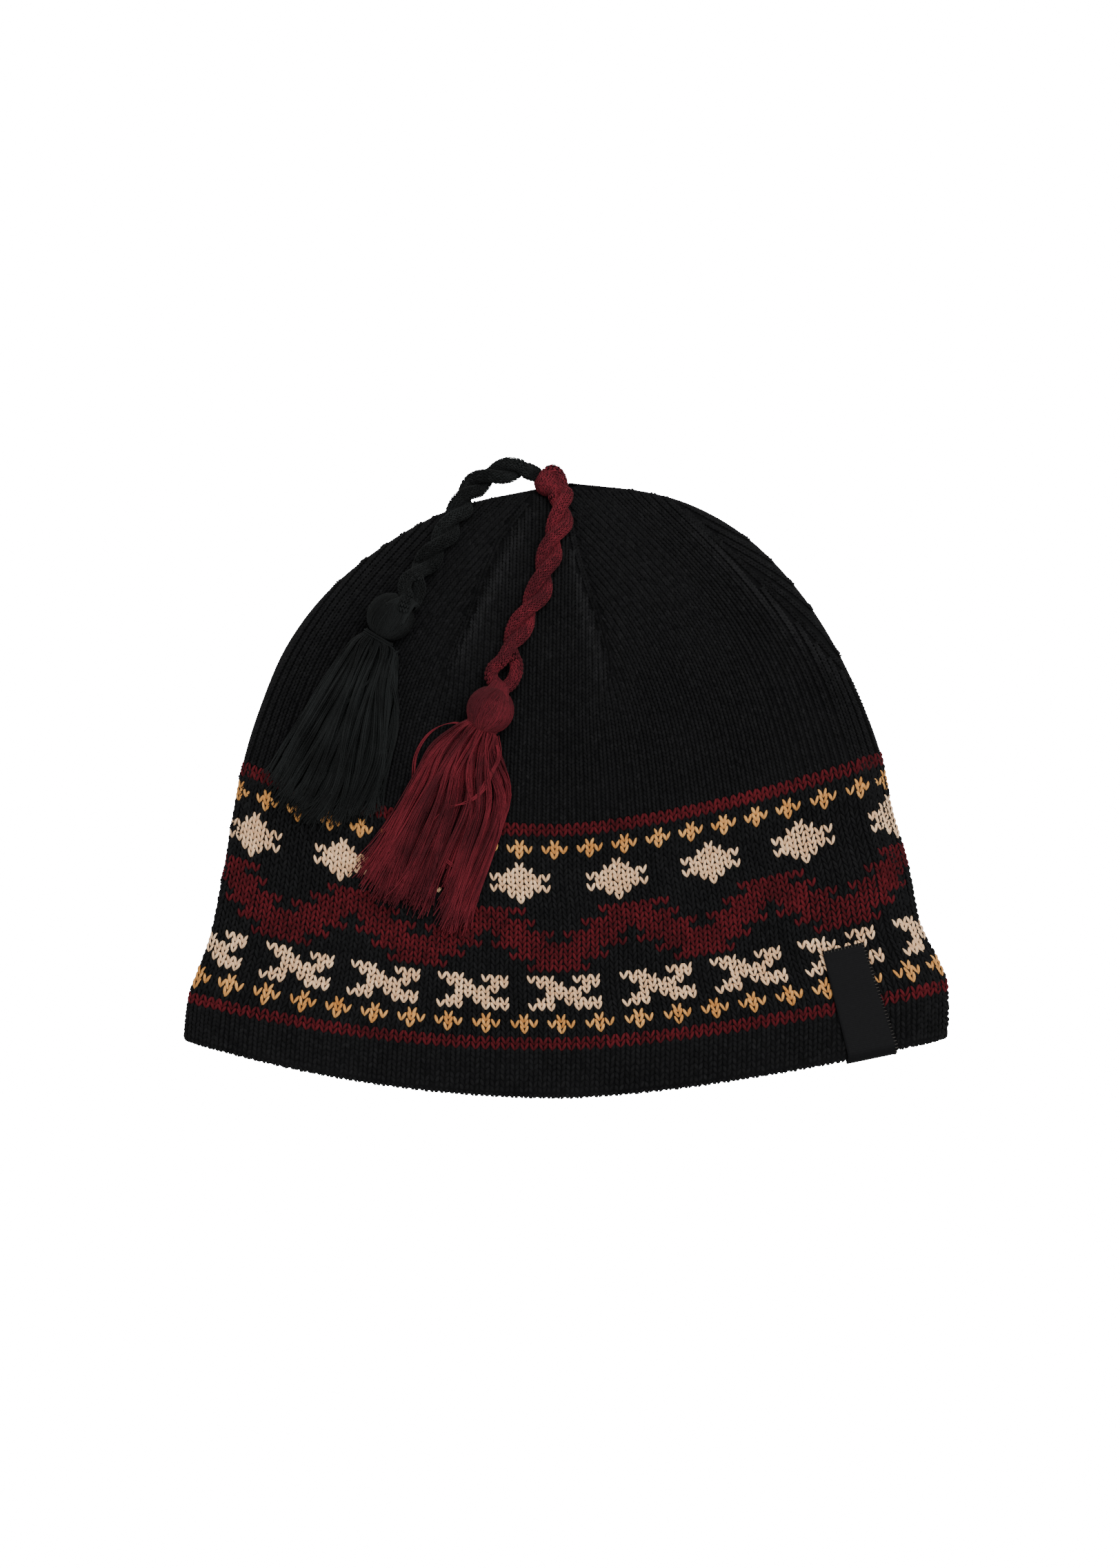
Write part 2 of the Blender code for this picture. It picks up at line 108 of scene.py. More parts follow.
def spunYarn(name, look):
    # Carded yarn, softly spun: no gloss at all, a faint halo of loose fibres at the edges and small
    # changes of tone from one bit of fibre to the next
    look = {**plainYarn, **look}
    made, tree, shader = newMaterial(name)
    place = addNode(tree, "ShaderNodeTexCoord").outputs["Object"]
    lot = addNode(tree, "ShaderNodeAttribute", attribute_name="tone")    # one value a stitch or thread
    both = addNode(tree, "ShaderNodeMath", {1: look["uneven"]}, {0: lot.outputs["Fac"]}, operation="MULTIPLY")
    for size, detail, share in (("drift", 2.0, 1 - look["mottle"]), ("tuft", 3.0, look["mottle"])):
        values = {"Scale": 1 / look[size], "Detail": detail}
        noise = addNode(tree, "ShaderNodeTexNoise", values, {"Vector": place})
        both = addNode(
            tree, "ShaderNodeMath", {1: share}, {0: noise.outputs["Fac"], 2: both.outputs[0]},
            operation="MULTIPLY_ADD",
        )
    tone = addNode(tree, "ShaderNodeValToRGB", None, {"Fac": both.outputs[0]})
    stops = [(0.36, look["dark"]), (0.66, look["light"])]
    if "ribLightAndTone" in look:      # raised ribs get a painted highlight, paler, and furrows painted shade, dark
        stops = [(0.16, look["furrowShade"]), *stops, (0.90, look["ribLightAndTone"])]
    colourStops(tone.color_ramp, stops)
    values = {"Scale": 1 / look["fibre"], "Detail": 2.0}
    fibres = addNode(tree, "ShaderNodeTexNoise", values, {"Vector": place})
    values = {"Strength": look["bump"], "Distance": 0.0002}
    bump = addNode(tree, "ShaderNodeBump", values, {"Height": fibres.outputs["Fac"]})
    setSockets(shader, {
        "Roughness": look["roughness"], "IOR": 1.45, "Specular IOR Level": look["gloss"],
        "Sheen Weight": look["halo"], "Sheen Roughness": 0.5, "Sheen Tint": linear(look["haloColour"]),
    }, {"Base Color": tone.outputs["Color"], "Normal": bump.outputs["Normal"]})
    return made


# tuft, drift and fibre are sizes in metres. One fibre is 0.02 mm thick and too fine to show, so the
# bump is drawn as tufts of 0.35 mm. A shade is the same yarn made darker and without a halo, as
# painted shade where it lies deep between the stitches. The black lambswool is the plain knit: its
# raised ribs get a paler grey as a painted highlight, and its furrows a darker one as painted shade.
# The cords and tassels are of a finer yarn, spun harder, so that its tone changes more from thread
# to thread.
plainYarn = {
    "tuft": 0.0010, "drift": 0.010, "fibre": 0.00035, "uneven": 0.10, "mottle": 0.5, "bump": 0.4,
    "roughness": 0.92, "gloss": 0.2, "halo": 0.05,
}
wideMottle = {"tuft": 0.0016, "drift": 0.020, "roughness": 0.95, "haloColour": "#8c8f92"}
fineThread = {
    "tuft": 0.0006, "drift": 0.012, "fibre": 0.00030, "uneven": 0.18, "mottle": 0.2, "bump": 0.5,
    "halo": 0.08,
}
hidden = {
    "tuft": 0.0009, "drift": 0.008, "fibre": 0.00030, "mottle": 0.3, "bump": 0.5, "roughness": 0.95,
    "gloss": 0.1, "halo": 0.0,
}
yarns = {
    # Its outer two stops are painted shade for the furrows and a painted highlight for the raised ribs
    "blackLambswool": {
        **wideMottle, "dark": "#0c0c0d", "light": "#161617", "furrowShade": "#050506", "ribLightAndTone": "#1f1f20",
        "uneven": 0.14, "mottle": 0.80, "gloss": 0.16, "halo": 0.06,
    },
    "blackLambswoolShade": {
        **wideMottle, "dark": "#0a0a0b", "light": "#131314", "uneven": 0.05, "mottle": 0.35, "gloss": 0.08,
        "halo": 0.0,
    },
    "burgundyLambswool": {
        "dark": "#3a0c11", "light": "#5a161d", "roughness": 0.93, "gloss": 0.18, "halo": 0.06,
        "haloColour": "#a0565c",
    },
    "creamLambswool": {"dark": "#d8ad84", "light": "#fbd5ab", "haloColour": "#f6e8d8"},
    "goldLambswool": {"dark": "#bd7f40", "light": "#e2a964", "haloColour": "#e8c698"},
    "tabThread": {      # polyester sewing thread, with a little gloss
        **hidden, "dark": "#2c2a28", "light": "#4a4642", "bump": 0.3, "roughness": 0.8, "gloss": 0.3,
        "halo": 0.05, "haloColour": "#b0aca6",
    },
    "redCordYarn": {
        **fineThread, "dark": "#44121a", "light": "#70212b", "roughness": 0.9, "gloss": 0.22,
        "haloColour": "#b9777b",
    },
    "redCordYarnShade": {**hidden, "dark": "#180507", "light": "#26090d", "haloColour": "#b9777b"},
    "greenBlackCordYarn": {**fineThread, "dark": "#0a0b0b", "light": "#1c1e1e", "haloColour": "#8d9392"},
    "greenBlackCordYarnShade": {**hidden, "dark": "#040505", "light": "#090b0b", "haloColour": "#8d9392"},
}


def satinTape():
    # Polyester satin tape, woven with long floats along its length: smooth and a little lighter than
    # the knit, with a wide dull sheen and a fine cross grain. Its threads lie 0.16 mm apart on the real
    # tape, drawn at 0.3 mm so that they show.
    made, tree, shader = newMaterial("polyesterSatinTape")
    place = addNode(tree, "ShaderNodeUVMap").outputs["UV"]
    grain = addNode(
        tree, "ShaderNodeTexWave", {"Scale": 1 / 0.0003 / tau, "Distortion": 1.2, "Detail": 1.0},
        {"Vector": place}, bands_direction="Y",
    )
    flecks = addNode(tree, "ShaderNodeTexNoise", {"Scale": 1 / 0.0009, "Detail": 3.0}, {"Vector": place})
    tone = addNode(tree, "ShaderNodeValToRGB", None, {"Fac": flecks.outputs["Fac"]})
    colourStops(tone.color_ramp, [(0, "#0a0a0b"), (1, "#121214")])
    values = {"Strength": 0.25, "Distance": 0.00006}
    bump = addNode(tree, "ShaderNodeBump", values, {"Height": grain.outputs["Fac"]})
    links = {"Base Color": tone.outputs["Color"], "Normal": bump.outputs["Normal"]}
    setSockets(shader, {"Roughness": 0.66, "Specular IOR Level": 0.09}, links)
    return made


def knitReverse():
    # The wrong side of the knit: a bar for each wale, 3.0 mm wide, and loose floats behind the coloured
    # rows, which are shares of the way from the rim to the top
    made, tree, shader = newMaterial("lambswoolReverse")
    place = addNode(tree, "ShaderNodeUVMap").outputs["UV"]
    parts = addNode(tree, "ShaderNodeSeparateXYZ", None, {"Vector": place})
    bars = addNode(
        tree, "ShaderNodeTexBrick",
        {"Scale": 1.0, "Mortar Size": 0.12, "Mortar Smooth": 1.0, "Brick Width": 1.0, "Row Height": 0.5},
        {"Vector": place}, offset=0.5,
    )
    tufts = addNode(tree, "ShaderNodeTexNoise", {"Scale": 1.7, "Detail": 3.0}, {"Vector": place})
    floats = addNode(tree, "ShaderNodeValToRGB", None, {"Fac": parts.outputs["Y"]})
    floats.color_ramp.interpolation = "CONSTANT"
    stops = [(0, "#121213")]
    for start, end, colour in (
        (0.10, 0.12, "#5d1a20"), (0.14, 0.17, "#8a5c33"), (0.19, 0.25, "#8f7c69"), (0.27, 0.38, "#4a151a"),
        (0.40, 0.47, "#8f7c69"), (0.49, 0.52, "#8a5c33"), (0.54, 0.56, "#5d1a20"),
    ):
        stops += [(start, colour), (end, "#121213")]
    colourStops(floats.color_ramp, stops)
    shade = addNode(
        tree, "ShaderNodeMix", {7: (0.6, 0.6, 0.6, 1)},
        {"Factor": tufts.outputs["Fac"], 6: floats.outputs["Color"]}, data_type="RGBA", blend_type="MULTIPLY",
    )
    values = {"Strength": 0.8, "Distance": 0.0006}
    bump = addNode(tree, "ShaderNodeBump", values, {"Height": bars.outputs["Fac"]}, invert=True)
    links = {"Base Color": shade.outputs[2], "Normal": bump.outputs["Normal"]}
    setSockets(shader, {"Roughness": 0.95, "Specular IOR Level": 0.2}, links)
    return made


def paleFloor():
    # Opal light table: white, lit from below as well, so that shadows stay faint
    made, tree, shader = newMaterial("opalAcrylicTable")
    place = addNode(tree, "ShaderNodeTexCoord").outputs["Object"]
    mottle = addNode(tree, "ShaderNodeTexNoise", {"Scale": 30.0}, {"Vector": place})
    tone = addNode(tree, "ShaderNodeValToRGB", None, {"Fac": mottle.outputs["Fac"]})
    colourStops(tone.color_ramp, [(0, "#f6f6f6"), (1, "#fafafa")])
    values = {"Roughness": 0.9, "Emission Color": linear("#ffffff"), "Emission Strength": 18.0}
    setSockets(shader, values, {"Base Color": tone.outputs["Color"]})
    return made


# Meshes

def addMesh(name, points, faces, materials, indexes=None, uv=None, body="root", tone=None, caps=None):
    # The faces have one number of corners, and caps are triangles after them
    faces = [np.asarray(part, np.int32) for part in (faces, caps) if part is not None]
    corners = np.concatenate([part.ravel() for part in faces])
    sizes = np.concatenate([np.full(len(part), part.shape[1]) for part in faces])
    mesh = bpy.data.meshes.new(name)
    mesh.vertices.add(len(points))
    mesh.vertices.foreach_set("co", np.asarray(points, np.float32).ravel())
    mesh.loops.add(len(corners))
    mesh.loops.foreach_set("vertex_index", corners)
    mesh.polygons.add(len(sizes))
    mesh.polygons.foreach_set("loop_start", (np.cumsum(sizes) - sizes).astype(np.int32))
    mesh.polygons.foreach_set("use_smooth", np.ones(len(sizes), bool))
    for material in materials:
        mesh.materials.append(material)
    if indexes is not None:
        mesh.polygons.foreach_set("material_index", np.asarray(indexes, np.int32))
    if uv is not None:
        mesh.uv_layers.new(name="UVMap").data.foreach_set("uv", np.asarray(uv, np.float32)[corners].ravel())
    if tone is not None:
        mesh.attributes.new("tone", "FLOAT", "POINT").data.foreach_set("value", np.asarray(tone, np.float32))
    mesh.update(calc_edges=True)
    obj = addObject(name, mesh)
    if body:
        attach(obj, body)
    return obj


def gridFaces(rows, columns, closed=False):
    # Quads over a grid of points, closed round its columns if asked
    i, j = np.meshgrid(np.arange(rows - 1), np.arange(columns if closed else columns - 1), indexing="ij")
    right = (j + 1) % columns
    quads = [i * columns + j, i * columns + right, (i + 1) * columns + right, (i + 1) * columns + j]
    return np.stack(quads, -1).reshape(-1, 4)


def unit(v):
    return v / np.maximum(np.linalg.norm(v, axis=-1, keepdims=True), 1e-12)


def between(values, position):
    # Smooth curve through equally spaced values
    values = np.asarray(values, float)
    position = np.clip(np.asarray(position, float), 0, len(values) - 1)
    step = np.minimum(position.astype(int), len(values) - 2)
    t = position - step
    if values.ndim > 1:
        t = t[..., None]
    longer = np.concatenate([[2 * values[0] - values[1]], values, [2 * values[-1] - values[-2]]])
    before, a, b, after = (longer[step + k] for k in range(4))
    inward, outward = (b - before) / 2, (after - a) / 2
    return (
        a * (2 * t**3 - 3 * t**2 + 1) + inward * (t**3 - 2 * t**2 + t)
        + b * (3 * t**2 - 2 * t**3) + outward * (t**3 - t**2)
    )


def soften(t):
    # The same way from 0 to 1, slow at both ends
    return t * t * (3 - 2 * t)


def hump(off, width):
    return np.exp(-(off / width) ** 2)


def flatGrid(*ranges):
    # Every pair of two ranges, the first one running slowest
    return (values.ravel() for values in np.meshgrid(*ranges, indexing="ij"))


def lengthAlong(path):
    return np.r_[0, np.cumsum(np.linalg.norm(np.diff(path, axis=0), axis=1))]


def lookUp(where, length, values):
    # Values given along a length, at other places of it
    return np.stack([np.interp(where, length, column) for column in values.T], -1)


def alongPath(path, count=None, step=None):
    # The path again with equal spacing, as count points or a point every step
    length = lengthAlong(path)
    count = count or int(ceil(length[-1] / step)) + 1
    return lookUp(np.linspace(0, length[-1], count), length, path)


def smoothPath(points, fine, count):
    # A smooth curve through places, traced in fine steps and given as count points with equal spacing
    return alongPath(between(points, np.linspace(0, len(points) - 1, fine)), count=count)


def framesOf(paths):
    # Tangent and two side vectors at each point of each path, turning as little as they can
    tangent = unit(np.gradient(paths, axis=1))
    first = np.where(np.abs(tangent[:, 0, 2:3]) < 0.8, [[0.0, 0.0, 1.0]], [[1.0, 0.0, 0.0]])
    side = np.empty_like(paths)
    side[:, 0] = unit(np.cross(tangent[:, 0], first))
    for i in range(1, paths.shape[1]):
        t = tangent[:, i]
        side[:, i] = unit(side[:, i - 1] - (side[:, i - 1] * t).sum(-1, keepdims=True) * t)
    return tangent, side, np.cross(tangent, side)


def tubes(paths, radii, sides):
    # Round threads: paths is threads x points x 3, and radii threads x points
    tangent, side, rise = framesOf(paths)
    angles = np.arange(sides) * tau / sides
    ring = side[:, :, None] * np.cos(angles)[:, None] + rise[:, :, None] * np.sin(angles)[:, None]
    points = paths[:, :, None] + ring * radii[:, :, None, None]
    one = gridFaces(paths.shape[1], sides, closed=True)[:, ::-1]
    faces = one[None] + (np.arange(len(paths)) * paths.shape[1] * sides)[:, None, None]
    return points.reshape(-1, 3), faces.reshape(-1, 4)


# The hat's surface, from the same sizes as the solid. Rows run from the rim to the top.
hat = {
    "halfRim": 0.2393 / 2,
    "sideHeight": 0.1732,
    "rimSag": 0.0185,
    "crownLoft": 0.0450,
    "foldHeight": 0.0095,
    "foldRound": 0.0140,
    "creasePower": 2.2,
    "bows": (2.0, 1.5),
    "hemWall": 0.0045,
    "foldRidge": 0.0014,
    "foldSpan": 0.0060,
    "valley": 0.7,
    # rise, left, right, sag, tilt, loft and under, as shares of the sizes above
    "rows": [
        (0.000, -1.000, 1.000, 1.00, 0.00, 0.49, 0.0),
        (0.084, -0.987, 0.998, 0.88, 0.10, 0.52, 0.0),
        (0.130, -0.964, 0.975, 0.92, 0.10, 0.55, 0.0),
        (0.199, -0.928, 0.926, 0.94, 0.10, 0.60, 0.0),
        (0.311, -0.895, 0.893, 1.00, 0.10, 0.69, 0.0),
        (0.404, -0.872, 0.853, 1.06, 0.09, 0.78, 0.0),
        (0.503, -0.844, 0.825, 1.14, 0.08, 0.87, 0.0),
        (0.603, -0.799, 0.772, 1.22, 0.07, 0.94, 0.0),
        (0.714, -0.728, 0.695, 1.27, 0.05, 1.00, 0.0),
        (0.814, -0.614, 0.598, 1.23, 0.03, 0.99, 0.0),
        (0.901, -0.448, 0.478, 1.07, 0.00, 0.86, 0.0),
        (0.957, -0.286, 0.344, 0.74, 0.00, 0.64, 0.0),
        (0.986, -0.108, 0.203, 0.40, 0.00, 0.44, 0.08),
        (1.000, 0.014, 0.014, 0.00, 0.00, 0.00, 1.0),
    ],
    # The crown's three decrease lines: top and foot as shares across half the rim and up the side,
    # the side on which the raised wales lie, and the side of the sharp ribs next to the line
    "folds": [
        (-0.101, 0.964, -0.313, 0.662, 1, 1),
        (0.000, 0.966, 0.117, 0.627, -1, -1),
        (0.312, 0.950, 0.739, 0.652, -1, -1),
    ],
    "rib": 0.0008, "ribAt": 0.0019, "ribSpan": 0.0022, "gutterAt": 0.0012, "gutterSpan": 0.0013,
    "gutterShare": 0.6,
}
cornerY = (hat["rimSag"] - hat["sideHeight"]) / 2


def onHat(across, up):
    return np.stack([np.asarray(across) * hat["halfRim"], cornerY + np.asarray(up) * hat["sideHeight"]], -1)


def rowAt(position):
    rise, left, right, sag, tilt, loft, under = np.moveaxis(between(hat["rows"], position), -1, 0)
    return {
        "middle": (left + right) / 2 * hat["halfRim"],
        "half": np.maximum((right - left) / 2, 0.0) * hat["halfRim"],
        "y": cornerY + rise * hat["sideHeight"],
        "sag": np.maximum(sag, 0.0) * hat["rimSag"],
        "tilt": tilt * hat["rimSag"],
        "loft": np.maximum(loft * hat["crownLoft"], hat["foldHeight"]),
        "under": np.maximum(under, 0.0) * hat["foldHeight"],
    }


def bow(row, u):
    power = np.where(u < 0, *hat["bows"])
    return row["y"] + row["tilt"] * u - row["sag"] * (1 - np.minimum(np.abs(u), 1.0) ** power)


def foldRelief(x, y, ribsOnly=False):
    relief, ribs = np.zeros(np.shape(x)), np.zeros(np.shape(x))
    for topAcross, topUp, footAcross, footUp, ridgeSide, ribSide in hat["folds"]:
        top, foot = onHat(topAcross, topUp), onHat(footAcross, footUp)
        run = foot - top
        along = ((x - top[0]) * run[0] + (y - top[1]) * run[1]) / (run @ run)
        side = ((x - top[0]) * run[1] - (y - top[1]) * run[0]) / np.linalg.norm(run) * ridgeSide
        fade = np.sqrt(np.maximum(np.sin(pi * np.clip(along, 0, 1)), 0))
        ridge = hump(side + hat["foldSpan"], hat["foldSpan"])
        valley = hump(side - hat["foldSpan"] / 2, hat["foldSpan"] / 2)
        relief = relief + fade * hat["foldRidge"] * (ridge - valley * hat["valley"])
        near = -side * ridgeSide * ribSide
        ribs = ribs + fade * hump(near - hat["ribAt"], hat["ribSpan"])
        ribs = ribs - hat["gutterShare"] * fade * hump(near + hat["gutterAt"], hat["gutterSpan"])
    return ribs if ribsOnly else relief + ribs * hat["rib"]


def frontPoint(position, u):
    row = rowAt(position)
    rise = np.maximum(1 - np.abs(u) ** hat["creasePower"], 0) ** (1 / hat["creasePower"])
    x, y = row["middle"] + u * row["half"], bow(row, u)
    z = hat["foldHeight"] + (row["loft"] - hat["foldHeight"]) * rise + foldRelief(x, y) * rise
    return np.stack([x, y, z], -1)


def backPoint(position, v):
    # v runs from -1 to 1 along the back layer, with the curls up to the creases at its ends
    row = rowAt(position)
    curl = np.minimum(hat["foldRound"], row["half"] * 0.7)
    flat = row["half"] - curl
    arc = (curl + hat["foldHeight"]) * pi / 4
    share = flat / np.maximum(flat + arc, 1e-9)
    turn = np.clip((np.abs(v) - share) / np.maximum(1 - share, 1e-9), 0, 1) * pi / 2
    offset = np.where(
        np.abs(v) < share, v / np.maximum(share, 1e-9) * flat, np.sign(v) * (flat + curl * np.sin(turn))
    )
    z = hat["foldHeight"] - (hat["foldHeight"] - row["under"]) * np.cos(turn)
    u = offset / np.maximum(row["half"], 1e-9)
    return np.stack([row["middle"] + offset, bow(row, u), z], -1)


# Wales are counted round the hat: 81 on the front from the left crease to the right one, then the
# back ones. The table gives where each fourth wale of the front lies across it.
wales = {
    "leftCrease": -36.6,
    "rightCrease": 44.4,
    "total": 160,
    "numbers": [-36.6, *range(-36, 45, 4), 44.4],
    "across": [-1, -0.990, -0.907, -0.807, -0.708, -0.6155, -0.5185, -0.4195, -0.3225, -0.2259, -0.1233,
               -0.0193, 0.0856, 0.1918, 0.2955, 0.3946, 0.4953, 0.5947, 0.6916, 0.803, 0.915, 0.993, 1],
    # Sideways run of the middle wales for each table row above the band's middle
    "drift": -0.0042, "driftFrom": 3.75, "driftWale": -2, "driftSpan": 6,
}
frontWales, backWales = np.arange(-36, 45), np.arange(45, 124)
backInset = 0.00068             # how much deeper the stitches lie in the back layer, to keep off the table
# Where the knit's rows lie in the middle of the front: number counted from the band's top, and Y
rowPlaces = {
    "numbers": [0, 3, 7, 15, 27, 34, 38, 40, 49],
    "y": [-0.01044, -0.01560, -0.02260, -0.03654, -0.05778, -0.06975, -0.07687, -0.08038, -0.09596],
}


def hatPoint(wale, position):
    wale, position = np.broadcast_arrays(np.asarray(wale, float), np.asarray(position, float))
    left, right, total = wales["leftCrease"], wales["rightCrease"], wales["total"]
    turn = (wale - left) % total + left
    u = np.interp(turn, wales["numbers"], wales["across"])
    drift = wales["drift"] * (position - wales["driftFrom"])
    u = u + drift * hump(turn - wales["driftWale"], wales["driftSpan"])
    v = 1 - 2 * (turn - right) / (left + total - right)
    onFront = (turn <= right)[..., None]
    return np.where(onFront, frontPoint(position, u), backPoint(position, np.clip(v, -1, 1)))


positionSteps = np.linspace(0, len(hat["rows"]) - 1, 2000)
middleY = np.maximum.accumulate(bow(rowAt(positionSteps), np.zeros(len(positionSteps))))


def rowPosition(number):
    y = np.interp(number, rowPlaces["numbers"], rowPlaces["y"])
    return np.interp(y, middleY, positionSteps)


def hatFrame(wale, position):
    # Point, the width of one wale, the way up and the outward normal
    step = 0.04
    across = hatPoint(wale + 0.5, position) - hatPoint(wale - 0.5, position)
    up = hatPoint(wale, position + step) - hatPoint(wale, np.maximum(position - step, 0))
    return hatPoint(wale, position), across, unit(up), unit(np.cross(across, up))


bandFoot = rowPlaces["numbers"][-2]      # the row at which the band ends and the hem begins
footY, edgeY = rowPlaces["y"][-2:]
hemRadius = hat["hemWall"] / 2
hemDrop = footY - edgeY - hemRadius
hemEdge = np.interp(edgeY + hemRadius, middleY, positionSteps)


def hemFrame(wale, distance, inset):
    # The turned hem: distance runs down the outside from the foot of the band, round the edge and up
    # the inside. inset is how deep below the solid's surface the point lies.
    wale, distance = np.broadcast_arrays(np.asarray(wale, float), np.asarray(distance, float))
    foot, arc = rowPosition(bandFoot), hemRadius * pi
    down = np.clip(distance / hemDrop, 0, 1)
    inside = np.clip((distance - hemDrop - arc) / hemDrop, 0, 1.3)
    turn = np.clip((distance - hemDrop) / arc, 0, 1) * pi
    position = np.where(
        distance < hemDrop + arc, foot + (hemEdge - foot) * down, hemEdge + (foot - hemEdge) * inside
    )
    point, across, up, normal = hatFrame(wale, position)
    c, s = np.cos(turn)[..., None], np.sin(turn)[..., None]
    outward = normal * c - up * s
    return point - normal * hemRadius + outward * (hemRadius - inset), across, up * c + normal * s, outward


# Knit: each stitch is two legs, each a bent lobe of yarn on the hat's surface. In the plain parts
# the yarn pulls the legs upright, so that they read as fine ribs. Along a leg, from its foot in the
# middle of the stitch to its top: thickness and lift are for the yarn's radius, footAcross and
# topAcross for the stitch's width, and reach is its length for the row's height.
legs = {
    "band": {
        "along": [0, 0.20, 0.50, 0.78, 1], "thickness": [0.50, 0.86, 1.04, 0.94, 0.42],
        "lift": [-0.80, -0.10, 0.28, 0.32, -0.05], "footAcross": 0.060, "topAcross": 0.395, "reach": 1.46,
    },
    "plain": {
        "along": [0, 0.20, 0.50, 0.80, 1], "thickness": [0.55, 0.90, 1.06, 0.92, 0.50],
        "lift": [-0.95, -0.15, 0.36, 0.20, -0.55], "footAcross": 0.140, "topAcross": 0.350, "reach": 1.34,
    },
    "fine": {       # the crown's small stitches
        "along": [0, 0.50, 1], "thickness": [0.66, 1.06, 0.66],
        "lift": [-0.72, 0.34, -0.40], "footAcross": 0.130, "topAcross": 0.290, "reach": 1.30,
    },
    "cord": {
        "along": [0, 0.33, 0.67, 1], "thickness": [0.60, 0.98, 1.00, 0.60],
        "lift": [-0.55, 0.15, 0.30, -0.25], "footAcross": 0.075, "topAcross": 0.375, "reach": 1.28,
    },
}
stitchWobble = (0.05, 0.10, 0.015, 0.05)     # of thickness, height, place across and place along
# spread is each stitch's tone at random; the next value scales the tone shift, painted light and shade on the
# crown's ribs
stitchTone = {"spread": 0.45, "ribLightAndTone": 2.2, "most": 2.5}


def legTemplate(leg, steps, sides):
    share = np.linspace(0, 1, steps)
    thickness = np.interp(share, leg["along"], leg["thickness"])
    lift = np.interp(share, leg["along"], leg["lift"])
    around = np.linspace(-pi / 2, pi / 2, sides)
    across = leg["footAcross"] + (leg["topAcross"] - leg["footAcross"]) * share**0.9
    return {
        "across": np.repeat(across, sides),
        "wide": (thickness[:, None] * np.sin(around)).ravel(),
        "along": np.repeat(-leg["reach"] * (1 - share), sides),
        "high": (lift[:, None] + thickness[:, None] * np.cos(around)).ravel(),
        "faces": gridFaces(steps, sides),
    }


def addStitches(
    name, at, across, along, up, materials, yarnRadius, steps, sides, kind, yarnIndex=0, height=1.0, ribLightAndTone=0.0
):
    # at is the top middle of each stitch, across its width, along one row's height and up its normal.
    # height raises its legs, and the last argument makes its tone lighter, up to 1, or darker, down to
    # -1; on the crown that is painted light on the raised ribs and painted shade in the furrows.
    shape = legTemplate(legs[kind], steps, sides)
    count, size = len(at), len(shape["across"])
    wobble = random.normal(0, 1, (count, 2, 4)) * stitchWobble
    thicker, taller, aside, ahead = wobble.transpose(2, 1, 0)[..., None]
    sign, radius = np.array([-1, 1])[:, None, None], yarnRadius * (1 + thicker)
    high = shape["high"] * radius * (np.reshape(height, (-1, 1)) * (1 + taller))
    points = at[:, None] + across[:, None] * (sign * (shape["across"] + aside))[..., None]
    points = points + unit(across)[:, None] * (sign * shape["wide"] * radius)[..., None]
    points = points + along[:, None] * (shape["along"] + ahead)[..., None] + up[:, None] * high[..., None]
    starts = (np.arange(2 * count) * size).reshape(2, count, 1, 1)
    faces = np.stack([shape["faces"][:, ::-1], shape["faces"]])[:, None] + starts
    indexes = np.tile(np.repeat(np.broadcast_to(yarnIndex, count), len(shape["faces"])), 2)
    tone = random.normal(0, stitchTone["spread"], 2 * count)
    tone = tone + np.tile(np.broadcast_to(ribLightAndTone, count), 2) * stitchTone["ribLightAndTone"]
    tone = np.repeat(np.clip(tone, -stitchTone["most"], stitchTone["most"]), size)
    return addMesh(name, points.reshape(-1, 3), faces.reshape(-1, 4), materials, indexes, tone=tone)


# The band's motifs from its top row down. X is the motif's own yarn, any other stitch is black, and
# shift turns a stitch's number into the chart's column.
band = {
    "yarnRadius": 0.00049,
    "inset": 0.00030,
    "motifs": [
        ("burgundy", 0, ["X", "X"]),
        ("black", 0, ["."]),
        ("gold", 1, [".X..", "XXX.", ".X.."]),
        ("black", 0, ["."]),
        ("cream", 3, [
            "...X.......", "..XXX......", "XXXXXXX....", ".XXXXX.....", "XXXXXXX....", "..XXX......",
            "...X.......",
        ]),
        ("black", 0, ["."]),
        ("burgundy", 4, [
            "XXXXX........XXX", "XXX...........XX", "XXXXXX.....XXXXX", "XXXXX.......XXXX",
            ".XXXXXXX.XXXXXXX", "..XXXXX...XXXXX.", ".XXXXXXXXXXXXXXX", "....XXXXXXXXX...",
            "...XXXXXXXXXXX..", "......XXXXX.....", ".....XXXXXXX....",
        ]),
        ("black", 0, ["."]),
        ("cream", -1, [
            "XXX..XXX..", ".XXX..XX..", "..XXXXX...", "..XXXX....", ".XX.XXXX..", "XXX..XXX..",
        ]),
        ("black", 0, ["."]),
        ("gold", 1, [".X..", "XXX.", ".X.."]),
        ("black", 0, ["."]),
        ("burgundy", 0, ["X", "X"]),
    ],
}
yarnNumbers = {"black": 0, "burgundy": 1, "cream": 2, "gold": 3}


def yarnChart():
    # Yarn number by row and wale. The two halves of the back meet at its middle, where a motif may break
    numbers = np.r_[frontWales, backWales]
    counted = np.where(numbers > 84, numbers - wales["total"], numbers)
    rows = []
    for yarn, shift, chart in band["motifs"]:
        for line in chart:
            rows.append([yarnNumbers[yarn] if line[(n + shift) % len(line)] == "X" else 0 for n in counted])
    return numbers, np.array(rows)


